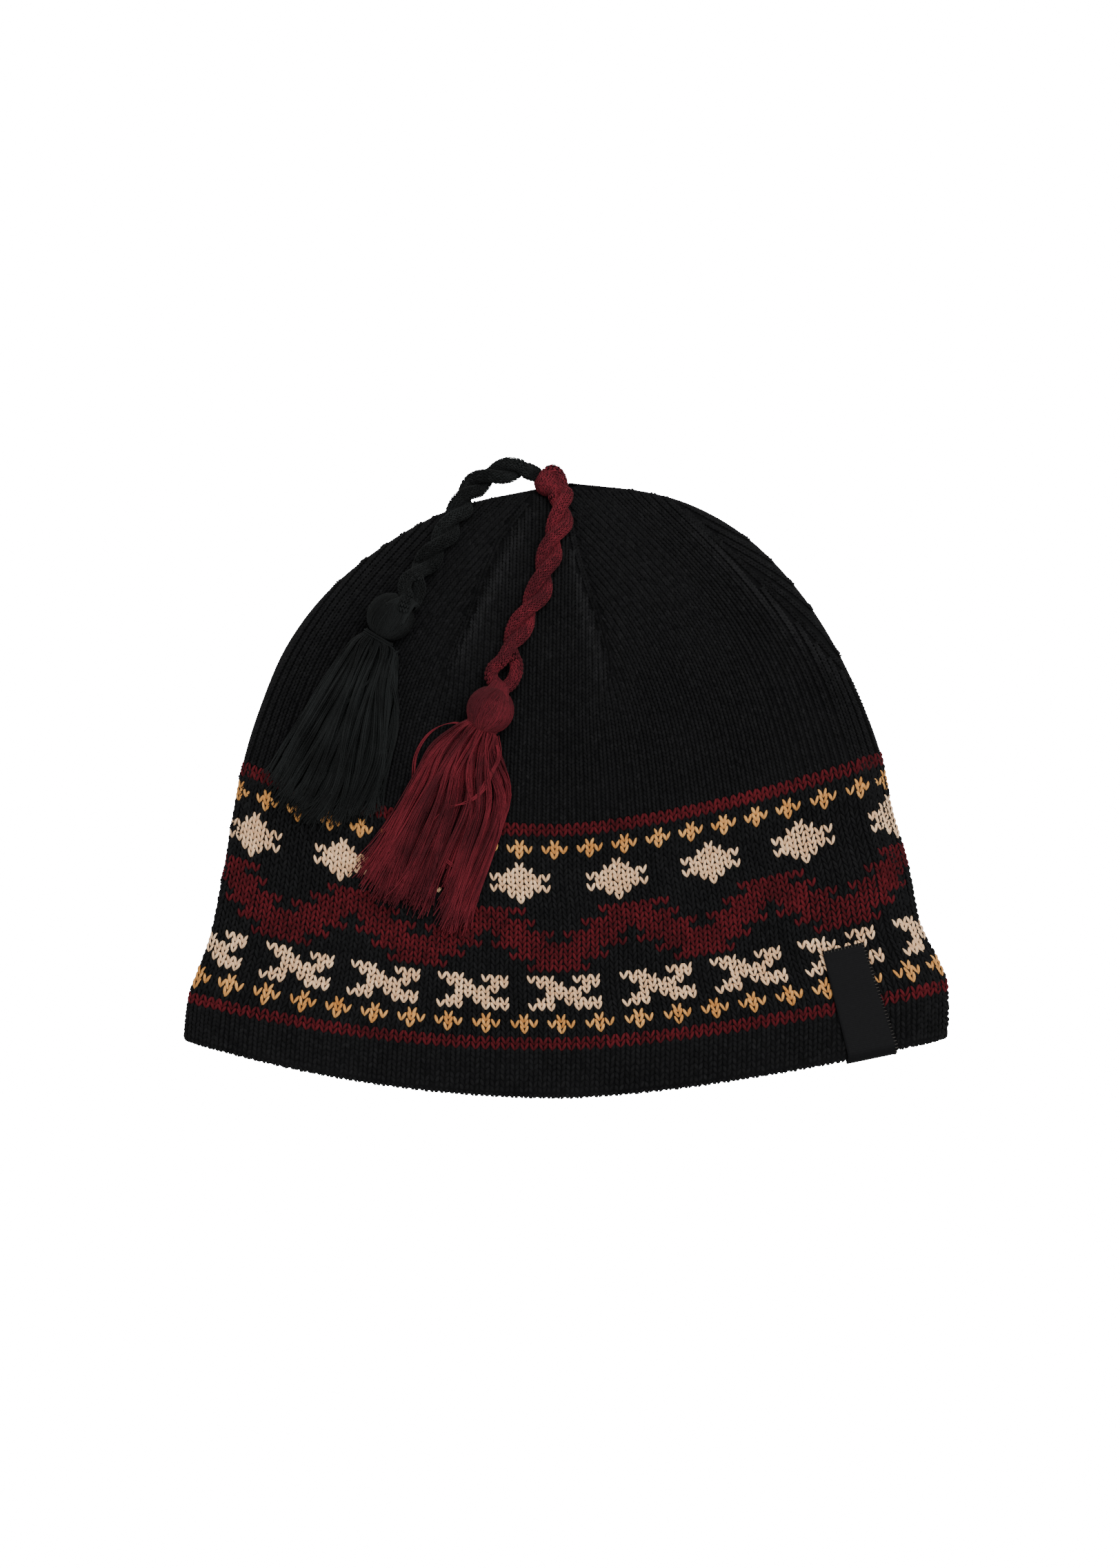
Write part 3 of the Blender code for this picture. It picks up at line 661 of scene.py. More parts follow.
def addBand(materials):
    numbers, chart = yarnChart()
    for name, onSide, steps, sides, deeper in (
        ("front", numbers <= frontWales[-1], 5, 4, 0), ("back", numbers > frontWales[-1], 3, 3, backInset),
    ):
        row, wale = flatGrid(np.arange(len(chart)), numbers[onSide])
        at, across, _, up = hatFrame(wale, rowPosition(row))
        along = at - hatPoint(wale, rowPosition(row + 1.0))
        addStitches(
            "knit_band_" + name, at - up * (band["inset"] + deeper), across, along, up, materials,
            band["yarnRadius"], steps, sides, "band", chart[:, onSide].ravel(),
        )


hem = {
    "yarnRadius": 0.00056, "inset": 0.00045, "backInset": 0.00060,
    "edgeInset": 0.00022,       # deeper still round the edge
    "pitch": 0.00174,
    "rows": 20,                 # 8 outside, 4 round the edge and the rest inside
}


def addHem(material):
    for name, numbers, steps, sides, deeper in (
        ("front", frontWales, 5, 4, 0), ("back", backWales, 3, 3, hem["backInset"]),
    ):
        row, wale = flatGrid(np.arange(hem["rows"]), numbers)
        inset = hem["inset"] + deeper + hem["edgeInset"] * (np.abs(row - 9.5) < 3)[:, None]
        at, across, along, up = hemFrame(wale, row * hem["pitch"], inset)
        addStitches(
            "knit_hem_" + name, at, across, along * hem["pitch"], up, [material], hem["yarnRadius"], steps,
            sides, "plain",
        )


# Crown: wales are traced over the plan of the hat. In each sector they lean their own way, and they
# end at the decrease lines.
crown = {
    "yarnRadius": 0.00045,
    "inset": 0.00030,
    "pitch": 0.00118,
    "spacing": 0.00260,
    "crowd": 0.44,              # a wale ends when it comes this close to the next one, for the spacing
    "apart": 0.80,              # and a new one starts only this far from all others
    "standOff": 0.0005,         # a stitch whose corner lies further off the skin is left out
    "step": 0.0007,
    "backStretch": 1.4,         # of the stitches' height in the back layer
    "bandLean": 18,             # degrees at the creases, at the foot of the crown
    "leans": [44, 1, -45, -62],     # degrees to the right, at the top of each sector from left to right
    "bandShare": 1.12,          # the leans are reached this much sooner than at the top
    "short": 0.0015,            # wales stop this far below the top
    "reach": 0.6,               # of a stitch past its wale's end
    "lines": [
        [(-0.101, 0.964), (-0.174, 0.898), (-0.210, 0.843), (-0.243, 0.778), (-0.293, 0.692),
         (-0.313, 0.662)],
        [(0.000, 0.966), (0.027, 0.882), (0.050, 0.829), (0.083, 0.764), (0.110, 0.694), (0.116, 0.655)],
        [(0.306, 0.954), (0.400, 0.893), (0.509, 0.822), (0.624, 0.743), (0.734, 0.660)],
    ],
    "blend": 1.3,               # width of the soft change below a line's foot, for the depth below it
    "raisedRibHeight": 0.4, "lineHeight": 0.3,   # how much higher the raised ribs and each line's own rib stand
}


def skinTree(onFront):
    position = np.linspace(0, len(hat["rows"]) - 1.02, 230)
    u = np.sin(np.linspace(-pi / 2, pi / 2, 181))
    points = (frontPoint if onFront else backPoint)(*flatGrid(position, u))
    return BVHTree.FromPolygons(points.tolist(), gridFaces(len(position), len(u)).tolist())


def dropOn(tree, x, y, onFront=True):
    # Point and outward normal of the skin over or under a place of the plan
    side = 1 if onFront else -1
    hit, normal, _, _ = tree.ray_cast(Vector((x, y, 0.1 * side)), Vector((0, 0, -side)))
    if hit is None:
        return None
    if normal.z * side < 0:
        normal = -normal
    return hit, normal


def traceCrown(onFront, numbers):
    tree = skinTree(onFront)
    mirror = 1 if onFront else -1
    plans = [onHat(*np.array(line).T)[::-1].T for line in crown["lines"]]
    lines, leans = [(y, x * mirror) for x, y in plans], np.radians(crown["leans"]) * mirror
    if not onFront:
        lines, leans = lines[::-1], leans[::-1]
    start = float(rowPosition(0.0))
    foot = {key: float(value) for key, value in rowAt(start).items()}
    topY = cornerY + hat["sideHeight"]
    cells, size = {}, crown["spacing"]

    def sectorAt(x, y):
        # Lean at a place, its sector, and whether each line is sharp there, which it isn't below its foot
        u = (x - foot["middle"]) / foot["half"]
        bandY = float(bow(foot, u))
        t = min(max((y - bandY) / (topY - bandY), 0), 1)
        lean, sector, sharp = leans[0], 0, []
        for k, (lineY, lineX) in enumerate(lines):
            below = lineY[0] - y
            width = 0.0004 + max(below, 0) * crown["blend"]
            share = soften(min(max((x - np.interp(y, lineY, lineX)) / width + 0.5, 0), 1))
            lean = lean + share * (leans[k + 1] - leans[k])
            sector += share > 0.5
            sharp.append(below < 0)
        base = -u * radians(crown["bandLean"])
        return base + (lean - base) * soften(min(t * crown["bandShare"], 1)), sector, sharp

    def tooClose(x, y, own, limit):
        i, j = int(x // size), int(y // size)
        for a in (i - 1, i, i + 1):
            for b in (j - 1, j, j + 1):
                for px, py, number in cells.get((a, b), ()):
                    if number != own and (px - x) ** 2 + (py - y) ** 2 < limit * limit:
                        return True
        return False

    def keep(path, number):
        for x, y in path:
            cells.setdefault((int(x // size), int(y // size)), []).append((x, y, number))

    def walk(x, y, number, heading):
        path = []
        lean, sector, _ = sectorAt(x, y)
        for _ in range(400):
            path.append((x, y))
            lean, now, sharp = sectorAt(x, y)
            if now != sector:
                if sharp[min(now, sector)]:
                    break
                sector = now
            x, y = x + sin(lean) * crown["step"] * heading, y + cos(lean) * crown["step"] * heading
            if dropOn(tree, x, y, onFront) is None or y > topY - crown["short"]:
                break
            if len(path) > 2 and tooClose(x, y, number, crown["crowd"] * size):
                break
        return path

    # The stitches that take in the others stand in a rib of their own along each line
    paths = []
    for k, (lineY, lineX) in enumerate(lines):
        rib = alongPath(np.column_stack([lineX, lineY, lineY * 0]), step=crown["step"])[:, :2]
        rib = [(x, y) for x, y in rib.tolist() if dropOn(tree, x, y, onFront) is not None]
        keep(rib, 10000 + k)
        paths.append((rib, False))
    begin = hatPoint(numbers, start)
    for number in np.argsort(np.abs(begin[:, 0])):
        path = walk(float(begin[number, 0]), float(begin[number, 1]), number, 1)
        if len(path) > 4:
            keep(path, number)
            paths.append((path, True))
    number = len(begin)
    for y in np.arange(begin[:, 1].min(), topY, size * 0.5):
        for x in np.arange(-hat["halfRim"], hat["halfRim"], size * 0.5):
            if tooClose(x, y, -1, crown["apart"] * size) or dropOn(tree, x, y, onFront) is None:
                continue
            u = (x - foot["middle"]) / foot["half"]
            if abs(u) < 1 and y < float(bow(foot, u)) + size:
                continue
            path = walk(x, y, number, -1)[::-1] + walk(x, y, number, 1)[1:]
            if len(path) > 6:
                keep(path, number)
                paths.append((path, False))
                number += 1
    return tree, paths


def addCrown(name, onFront, numbers, material, sides):
    tree, paths = traceCrown(onFront, numbers)
    pitch = crown["pitch"] * (1 if onFront else crown["backStretch"])
    rows = []
    for number, (path, fromBand) in enumerate(paths):
        spots = [dropOn(tree, x, y, onFront) for x, y in path]
        pairs = [pair for pair in spots if pair is not None]
        if len(pairs) < 4:
            continue
        points, normals = (np.array(part) for part in zip(*pairs))
        length = lengthAlong(points)
        first = pitch * (1.0 if fromBand else 1.0 + random.random())
        want = np.arange(first, length[-1] + pitch * crown["reach"], pitch)
        if not len(want):
            continue
        place, normal = lookUp(want, length, points), unit(lookUp(want, length, normals))
        run = unit(place - lookUp(want - pitch, length, points) + 1e-9)
        # Painted light and shade: stitches on the raised ribs beside the lines get a lighter tone, and those
        # in the furrows a darker one
        ribLightAndTone = foldRelief(place[:, 0], place[:, 1], ribsOnly=True) * onFront
        height = 1 + crown["raisedRibHeight"] * np.clip(ribLightAndTone, 0, 1)
        height = height + (crown["lineHeight"] if number < len(crown["lines"]) else 0)
        across = unit(np.cross(run, normal)) * crown["spacing"]
        rows.append((place, run * pitch, across, normal, height, ribLightAndTone))
    rows = [np.concatenate(part) for part in zip(*rows)]
    at, along, across = rows[:3]
    far = np.zeros(len(at))
    for share, side in ((0, -0.42), (0, 0.42), (-1.0, -0.3), (-1.0, 0.3)):
        corner = at + along * share + across * side
        far = np.maximum(far, [tree.find_nearest(Vector(c))[3] for c in corner])
    at, along, across, up, height, ribLightAndTone = (part[far < crown["standOff"]] for part in rows)
    inset = crown["inset"] + (0 if onFront else backInset)
    addStitches(
        name, at - up * inset, across, along, up, [material], crown["yarnRadius"], 3, sides, "fine",
        height=height, ribLightAndTone=ribLightAndTone,
    )
    print(name, len(paths), "wales", len(at), "stitches")
    return tree


# Ground under the stitches: the outer sheet, the rounded edge, the turned hem and the lining. All but
# the lining are in the darker shade yarn, painted shade between the stitches
ground = {
    "inset": 0.00066, "creaseInset": 0.00012, "edgeInset": 0.00002, "lining": 0.0021,
    "steep": 0.6,               # the upward part of the normal below which the inset shrinks
    "closing": 0.6,             # table rows below the top over which it shrinks too
    "outerRings": 84, "innerRings": 60,
    "outerTop": 0.12, "innerTop": 0.45, "innerFoot": 0.35,      # table rows from the ends
    "overlap": 1.2,             # how far the turned edge runs up behind the lining, for the hem
}


def addGround(black, reverse):
    wale = wales["leftCrease"] + np.arange(wales["total"])
    last = len(hat["rows"]) - 1
    rings = []      # the points of each ring and its height on the lining, which is below 0 outside
    for position in np.linspace(last - ground["outerTop"], hemEdge, ground["outerRings"]):
        point, _, _, normal = hatFrame(wale, position)
        flat = np.clip(np.abs(normal[:, 2:3]) / ground["steep"], 0, 1)
        inset = ground["creaseInset"] + (ground["inset"] - ground["creaseInset"]) * flat
        rings.append((point - normal * inset * min(1.0, (last - position) / ground["closing"]), -0.3))
    turned = hemDrop + hemRadius * pi
    inside = np.linspace(turned, turned + ground["overlap"] * hemDrop, 7)
    for distance in np.r_[np.linspace(hemDrop, turned, 8)[1:], inside[1:]]:
        rings.append((hemFrame(wale, distance, ground["edgeInset"])[0], -0.2))
    foot, top = rowPosition(bandFoot) + ground["innerFoot"], last - ground["innerTop"]
    for position in np.linspace(foot, top, ground["innerRings"]):
        point, _, _, normal = hatFrame(wale, position)
        rings.append((point - normal * ground["lining"], position / last))
    count, columns = len(rings), len(wale)
    tip = hatPoint(0.0, last) * [1, 1, 0] + [0, 0, hat["foldHeight"]]
    points = np.concatenate([ring for ring, _ in rings] + [[tip], [rings[-1][0].mean(0)]])
    quads = gridFaces(count, columns, closed=True)[:, ::-1]
    around, base = np.arange(columns), (count - 1) * columns
    after, end = (around + 1) % columns, np.full(columns, len(points) - 1)
    caps = np.stack([np.r_[end - 1, end], np.r_[after, base + around], np.r_[around, base + after]], 1)
    inner = quads.min(1) // columns >= count - ground["innerRings"]
    indexes = np.r_[inner, np.zeros(len(caps), bool)]
    uv = np.stack([np.tile(around, count), np.repeat([height for _, height in rings], columns)], 1)
    uv = np.concatenate([uv, [[0, 0], [0, 1]]])
    whole = addMesh("knit_ground", points, quads, [black, reverse], indexes, uv, caps=caps)
    whole.data.validate()
    return whole


addCamera()
print("camera placed")

made = {name: spunYarn(name, look) for name, look in yarns.items()}
blackYarn = made["blackLambswool"]
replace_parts(addGround(made["blackLambswoolShade"], knitReverse()), "knit_body")
addBand([made[colour + "Lambswool"] for colour in yarnNumbers])
addHem(blackYarn)
print("band and hem knitted")
frontSkin = addCrown("knit_crown_front", True, frontWales, blackYarn, 4)
addCrown("knit_crown_back", False, backWales, blackYarn, 3)
print("crown knitted")


# Places in the photo are given as they were measured there, in dots of its own size
photo = {"dot": 0.0002152, "zeroX": 820.0, "zeroY": 1145.5}


def fromPhoto(places):
    places = np.asarray(places, float)
    return np.stack([
        (places[..., 0] - photo["zeroX"]) * photo["dot"], (photo["zeroY"] - places[..., 1]) * photo["dot"],
    ], -1)


def skinHeight(x, y):
    # Height of the knit's outside, or of the table where there is no hat under the place
    spot = dropOn(frontSkin, float(x), float(y))
    return spot[0].z if spot else 0.0


# Cords: two knitted strands twisted together
cord = {
    "diameter": 0.0073,
    "strandRadius": 0.00192,
    "coreRadius": 0.00183,
    "standOff": 0.00008,        # of the stitches from the core
    "helixRadius": 0.00196,
    "columns": 12,
    "pitch": 0.00104,
    "yarnRadius": 0.00020,
}
# The cords' middles, from the knot to their tassels
redCordRoute = [
    (-0.0038, 0.0937, 0.0184), (-0.0011, 0.0911, 0.0212), (-0.0010, 0.0859, 0.0268),
    (-0.0025, 0.0809, 0.0309), (-0.0041, 0.0764, 0.0339), (-0.0053, 0.0718, 0.0368),
    (-0.0065, 0.0671, 0.0395), (-0.0081, 0.0621, 0.0420), (-0.0102, 0.0578, 0.0437),
    (-0.0127, 0.0532, 0.0454), (-0.0149, 0.0489, 0.0466), (-0.0169, 0.0447, 0.0476),
    (-0.0186, 0.0407, 0.0482), (-0.0200, 0.0366, 0.0486), (-0.0212, 0.0320, 0.0500),
]
blackCordRoute = [
    (-0.0102, 0.0984, 0.0156), (-0.0137, 0.1005, 0.0156), (-0.0177, 0.0998, 0.0156),
    (-0.0215, 0.0987, 0.0156), (-0.0251, 0.0973, 0.0156), (-0.0282, 0.0950, 0.0152),
    (-0.0308, 0.0914, 0.0183), (-0.0330, 0.0873, 0.0228), (-0.0352, 0.0833, 0.0263),
    (-0.0375, 0.0792, 0.0292), (-0.0399, 0.0752, 0.0316), (-0.0427, 0.0713, 0.0337),
    (-0.0457, 0.0678, 0.0348), (-0.0484, 0.0644, 0.0361), (-0.0510, 0.0595, 0.0393),
]


def strandPaths(route, eye):
    # Two strands round the route. At its end they part into an eye, whose places are given for each
    # strand: across and along in the photo, and millimetres over the route's end.
    middle = smoothPath(route, 640, 160)
    length = lengthAlong(middle)
    tangent = unit(np.gradient(middle, axis=0))
    rise = unit(np.array([[0, 0, 1.0]]) - tangent * tangent[:, 2:3])
    side = np.cross(tangent, rise)
    left = (length[-1] - length)[:, None] - eye["from"]
    keep = left[:, 0] > 0
    turn = -left * pi / eye["halfTwist"]
    radius = cord["helixRadius"] * (0.35 + 0.65 * np.clip(length / 0.005, 0, 1))
    offset = (rise * np.cos(turn) + side * np.sin(turn)) * radius[:, None]

    def inEye(places):
        places = np.array(places)
        return np.column_stack([fromPhoto(places[:, :2]), places[:, 2] * 0.001 + middle[-1, 2]])

    paths = []
    for sign, start, places in ((1, eye["starts"][0], eye["left"]), (-1, eye["starts"][1], eye["right"])):
        helix = (middle + sign * offset)[keep]
        start = [[*fromPhoto(start[:2]), start[2]]]
        paths.append(smoothPath(np.concatenate([start, helix[4::6], inEye(places)]), 400, 120))
    return middle, paths, smoothPath(np.concatenate([middle[keep][::8], inEye(eye["middle"])]), 300, 28)


def addStrand(name, path, yarn, dark, relief=1.0):
    length, columns, pitch = lengthAlong(path), cord["columns"], cord["pitch"]
    rows = np.arange(pitch, length[-1], pitch)
    where, column = flatGrid(rows, np.arange(columns))
    ahead, one, two = (unit(lookUp(where, length, part[0])) for part in framesOf(path[None]))
    angle = (column * tau / columns)[:, None]
    out = one * np.cos(angle) + two * np.sin(angle)
    place = lookUp(where, length, path) + out * (cord["coreRadius"] + cord["standOff"])
    across = np.cross(out, ahead) * (tau * cord["strandRadius"] / columns)
    # The core under the stitches is in the darker shade yarn: painted shade in the gaps between them
    core = tubes(path[None], np.full((1, len(path)), cord["coreRadius"]), 10)
    core = addMesh(name + "_core", *core, [dark])
    return addStitches(
        name, place, across, -ahead * pitch, out, [yarn], cord["yarnRadius"], 4, 3, "cord", height=relief,
        ribLightAndTone=-0.15,
    ), core


def addCord(name, node, route, yarn, shade, eye):
    middle, paths, path = strandPaths(route, eye)
    strands = [addStrand(name + "_strand" + str(k + 1), line, yarn, shade) for k, line in enumerate(paths)]
    strands = [part for pair in zip(*strands) for part in pair]
    whole = strands[0]
    with bpy.context.temp_override(
        active_object=whole, object=whole, selected_objects=strands, selected_editable_objects=strands,
    ):
        bpy.ops.object.join()
    whole.name = name
    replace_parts(whole, node)


# Tassels: a bundle of loose thread hung over the cord's eye, bound into a ball, with a free skirt.
# Places are dots of the photo, sizes and the names with Z or Rise are metres, and the strays' third
# number is millimetres over the knit.
tassel = {
    "headRadius": 0.0073, "headThreads": 330, "neckRadius": 0.0034, "neckWide": 1.55,
    "threads": 1050, "threadRadius": 0.00018, "points": 17, "clumps": 20, "floor": 0.0006,
    "saddleThreads": 40, "saddleRadius": 0.0024,
    "swayOfLock": (0.0006, 0.0019), "bendsOfLock": (4.5, 8.5), "ragged": 0.030, "curl": 0.0015,
    "pullToLock": (0.14, 0.26),         # at the skirt's middle height, and more on top of it
    "bundleWave": (0.0007, 0.0012),     # everywhere, and more to the right
    "bundleBends": 8.2, "threadBends": 11, "threadWave": 0.00028,
    "depth": (0.0016, 0.0050),          # at the tips, and more up to the neck
    "shortShare": 0.10, "shorter": 0.12,
    "lowest": 0.0010, "sheet": 0.0009,  # heights over the knit
    "grooveDepth": 0.13, "grooveWidth": 0.16, "coreInset": 0.00035, "headThread": 0.00020,
    "saddleThread": 0.00022, "saddleWidth": (0.0024, 0.0042), "saddleFoot": 0.0046,
    "neckThread": 0.00022, "neckTurns": 5, "neckSpan": (-0.0018, -0.0004), "strayThread": 0.00014,
}
redTassel = {
    "head": (712, 1030), "headZ": 0.0521, "neck": (698, 1057), "neckZ": 0.0515, "groove": -1.15,
    "over": (724, 1001), "overRise": -0.0006,
    "guides": [
        [(680, 1043), (656, 1055), (624, 1080), (604, 1118), (566, 1184), (509, 1258)],
        [(686, 1046), (666, 1062), (640, 1096), (622, 1140), (590, 1200), (540, 1292)],
        [(693, 1050), (677, 1069), (658, 1108), (640, 1160), (612, 1225), (576, 1310)],
        [(700, 1053), (688, 1075), (676, 1116), (670, 1168), (642, 1238), (608, 1324)],
        [(707, 1057), (700, 1079), (700, 1120), (700, 1172), (672, 1247), (640, 1340)],
        [(713, 1060), (712, 1082), (722, 1118), (722, 1170), (698, 1252), (666, 1350)],
        [(720, 1063), (723, 1080), (733, 1116), (738, 1162), (716, 1240), (686, 1336)],
    ],
    "strays": [
        [(676, 1052, 4.0), (655, 1049, 3.5), (632, 1057, 2.0), (616, 1073, 1.2), (605, 1097, 0.8),
         (602, 1125, 0.8), (598, 1150, 0.8), (588, 1176, 1.5), (570, 1206, 2.0), (552, 1236, 1.2)],
        [(721, 1068, 4.5), (724, 1097, 4.6), (713, 1122, 5.4), (702, 1146, 5.8), (682, 1163, 5.6),
         (656, 1168, 5.2), (641, 1181, 4.6), (632, 1204, 4.0), (618, 1228, 3.2), (596, 1256, 2.4)],
        [(719, 1072, 4.8), (722, 1100, 5.0), (708, 1128, 5.6), (694, 1152, 5.8), (668, 1166, 5.4),
         (644, 1176, 4.8), (624, 1196, 4.0), (608, 1222, 3.2)],
        [(628, 1210, 4.2), (640, 1238, 3.8), (668, 1260, 3.6), (690, 1268, 2.6), (694, 1286, 1.6)],
    ],
}
blackTassel = {
    "head": (568, 896), "headZ": 0.0432, "neck": (548, 930), "neckZ": 0.0428, "groove": 2.2,
    "over": (590, 877), "overRise": 0.0032,
    "guides": [
        [(532, 916), (507, 932), (472, 978), (436, 1042), (408, 1088), (375, 1136)],
        [(538, 919), (520, 940), (494, 990), (461, 1058), (433, 1112), (401, 1162)],
        [(544, 923), (532, 946), (512, 1000), (486, 1072), (459, 1130), (430, 1182)],
        [(550, 927), (545, 950), (530, 1008), (510, 1083), (489, 1140), (464, 1192)],
        [(556, 930), (558, 952), (548, 1015), (532, 1087), (515, 1144), (498, 1194)],
        [(562, 934), (570, 954), (564, 1015), (552, 1082), (542, 1134), (531, 1188)],
        [(568, 937), (581, 956), (581, 1005), (568, 1062), (562, 1118), (558, 1174)],
    ],
    "strays": [
        [(577, 945, 4.5), (560, 962, 5.0), (540, 985, 5.0), (520, 1005, 4.6), (500, 1028, 4.2),
         (492, 1060, 3.6), (496, 1080, 3.0), (506, 1094, 2.4), (520, 1104, 1.6)],
        [(575, 950, 4.4), (566, 975, 4.6), (540, 1010, 4.4), (510, 1052, 3.8), (484, 1096, 3.0),
         (470, 1130, 2.0)],
    ],
}


def addThreads(name, paths, radii, sides, yarn, tone=0.0):
    points, faces = tubes(paths, np.broadcast_to(radii, paths.shape[:2]), sides)
    tone = np.repeat(np.broadcast_to(tone, len(paths)), paths.shape[1] * sides)
    return addMesh(name, points, faces, [yarn], tone=tone)


def threadTones(count, own=0.0):
    return np.clip(random.normal(0, 0.4, count) + own, -1.2, 1.2)


def onFan(guides, across, t):
    # Places in the plan: across runs from -1 to 1 over the guides, and t from 0 to 1 down them
    across = np.clip((across + 1) / 2, 0, 1) * (len(guides) - 1)
    line = np.stack([between(guides[:, k], across) for k in range(guides.shape[1])])
    return np.array([between(line[:, j], t[j] * (len(line) - 1)) for j in range(len(t))])


def skinHeights(plan, lift):
    return np.array([skinHeight(x, y) for x, y in plan]) + lift


def addSkirt(name, place, yarn, shade):
    guides = fromPhoto(place["guides"])
    count, steps = tassel["threads"], tassel["points"]
    angle, far = random.random(count) * tau, np.sqrt(random.random(count))
    u, v = np.cos(angle) * far, np.sin(angle) * far
    # Locks: the threads next to each other share their waves, their length and their height
    locks = tassel["clumps"]
    clump = np.linspace(-0.97, 0.97, locks) + random.uniform(-0.03, 0.03, locks)
    own = np.abs(u[:, None] - clump[None]).argmin(1)
    sway = random.uniform(*tassel["swayOfLock"], locks)
    bends, start = random.uniform(*tassel["bendsOfLock"], locks), random.random(locks) * tau
    ends, rises = random.normal(0, tassel["ragged"], locks), random.uniform(0, 0.0009, locks)
    reach = 0.93 + 0.07 * random.random(count) + ends[own]
    reach[random.random(count) < tassel["shortShare"]] -= tassel["shorter"]
    phase, wave = random.random((count, 2)) * tau, random.normal(0, 1, (count, 2))
    curl = random.normal(0, tassel["curl"], (count, 3))
    least, more = tassel["pullToLock"]
    paths = np.empty((count, steps, 3))
    for i, k in enumerate(own):
        t = np.linspace(0, 1, steps) * reach[i]
        pull = least + more * np.clip(v[i], 0, 1)
        mixed = u[i] + (clump[k] - u[i]) * pull * np.sin(pi * np.clip(t, 0, 1)) ** 0.7
        grow, onTop = np.clip(t / 0.25, 0, 1), np.clip(np.array([0.4, 0.5]) + v[i], 0.2, 1)
        shift = sway[k] * np.sin(t * bends[k] + start[k]) * grow * onTop[0]
        alone = np.sin(t * tassel["threadBends"] + phase[i, 0]) * wave[i, 0]
        shift = shift + tassel["threadWave"] * alone * grow
        # The whole bundle waves together, most of all on its right side
        wide = tassel["bundleWave"][0] + tassel["bundleWave"][1] * np.clip(mixed + 0.3, 0, 1)
        shift = shift + wide * np.sin(t * tassel["bundleBends"] + mixed * 2.4 + 0.6) * grow * onTop[1]
        tip = (np.clip((t - 0.80) / 0.20, 0, 1) ** 2)[:, None] * curl[i]
        plan = onFan(guides, mixed, t) + shift[:, None] * [1, 0.3] + tip[:, :2]
        surface = skinHeights(plan, 0)
        thick = tassel["depth"][1] * (1 - np.clip(t, 0, 1)) ** 0.6 + tassel["depth"][0]
        thick = thick * np.sqrt(np.maximum(1 - 0.7 * mixed**2, 0.1))
        low = surface + tassel["lowest"] + (v[i] + 1) / 2 * thick
        low = low + rises[k] * grow + 0.0003 * np.sin(t * 7 + phase[i, 1]) * wave[i, 1]
        low = low + np.abs(tip[:, 2]) * 0.5
        high = place["neckZ"] + v[i] * tassel["neckRadius"] * 0.9
        ease = soften(np.clip(t / 0.30, 0, 1))
        z = np.maximum(high * (1 - ease) + low * ease, surface + tassel["floor"])
        paths[i] = np.column_stack([plan, z])
    radii = tassel["threadRadius"] * (0.85 + 0.35 * random.random((count, 1))) * np.linspace(1, 0.8, steps)
    tone = threadTones(count, random.normal(0, 0.32, locks)[own])
    skirt = addThreads(name, paths, radii, 3, yarn, tone)
    # The lowest threads, so close that they are one sheet on the knit, in the darker shade yarn: painted
    # shade under the upper threads
    t, share = flatGrid(np.linspace(0.12, 0.90, 22), np.linspace(0.03, 0.97, 15))
    plan = onFan(guides, share * 2 - 1, t)
    points = np.column_stack([plan, skinHeights(plan, tassel["sheet"])])
    sheet = addMesh(name + "_low", points, gridFaces(22, 15), [shade])
    return [skirt, sheet, addStrays(name.replace("skirt", "strays"), place["strays"], yarn)]


def addStrays(name, lines, yarn):
    # Loose threads that leave the bundle, four side by side
    paths = []
    for line in lines:
        dense = between(line, np.linspace(0, len(line) - 1, 40))
        plan = fromPhoto(dense[:, :2])
        path = np.column_stack([plan, skinHeights(plan, dense[:, 2] * 0.001)])
        for twin in (-1.0, -0.35, 0.35, 1.0):
            apart = 0.00024 + 0.0005 * np.sin(np.linspace(0, pi * 1.7, 40) + twin)[:, None]
            paths.append(path + twin * apart * [1.0, 0.3, 0.0])
    return addThreads(name, np.array(paths), tassel["strayThread"], 5, yarn, 1.0)


def spotOf(place, key):
    return np.array([*fromPhoto(place[key]), place[key + "Z"]])


def headFrame(place):
    # The ball's centre, its axis to the neck and two directions across
    centre = spotOf(place, "head")
    axis = unit(spotOf(place, "neck") - centre)
    one = unit(np.cross(axis, [0, 0, 1.0]))
    return centre, axis, one, np.cross(axis, one)


def addHead(name, place, yarn):
    centre, axis, one, two = headFrame(place)

    def onBall(t, phi, radius):
        # t runs from the ball's top to its neck, and phi round it, with a groove down one side
        out = one * np.cos(phi)[..., None] + two * np.sin(phi)[..., None]
        dent = np.angle(np.exp(1j * (phi - place["groove"])))
        shape = tassel["grooveDepth"] * hump(dent, tassel["grooveWidth"])
        shape = 1 - shape * np.sin(np.clip(t, 0, pi / 1.6) * 1.6)
        return centre + out * (radius * shape * np.sin(t))[..., None] - axis * (np.cos(t) * radius)[..., None]

    # The ball of thread itself, closed, below its outermost threads
    t, phi = flatGrid(np.linspace(0, pi, 22), np.arange(48) * tau / 48)
    ball = onBall(t, phi, tassel["headRadius"] - tassel["coreInset"])
    core = addMesh(name + "_core", ball, gridFaces(22, 48, closed=True), [yarn])
    count, t = tassel["headThreads"], np.linspace(0.10, pi * 0.88, 13)
    paths = []
    for i in range(count):
        phi = tau * (i + random.random() * 1.4) / count + random.normal(0, 0.16) * np.cos(t)
        paths.append(onBall(t, phi, tassel["headRadius"] - 0.0003 * random.random()))
    size = tassel["headThread"] * (0.8 + 0.5 * random.random((count, 1)))
    threads = addThreads(name, np.array(paths), size, 3, yarn, threadTones(count) * 0.5 - 0.6)
    return [threads, core, addSaddle(name.replace("head", "saddle"), place, yarn)]


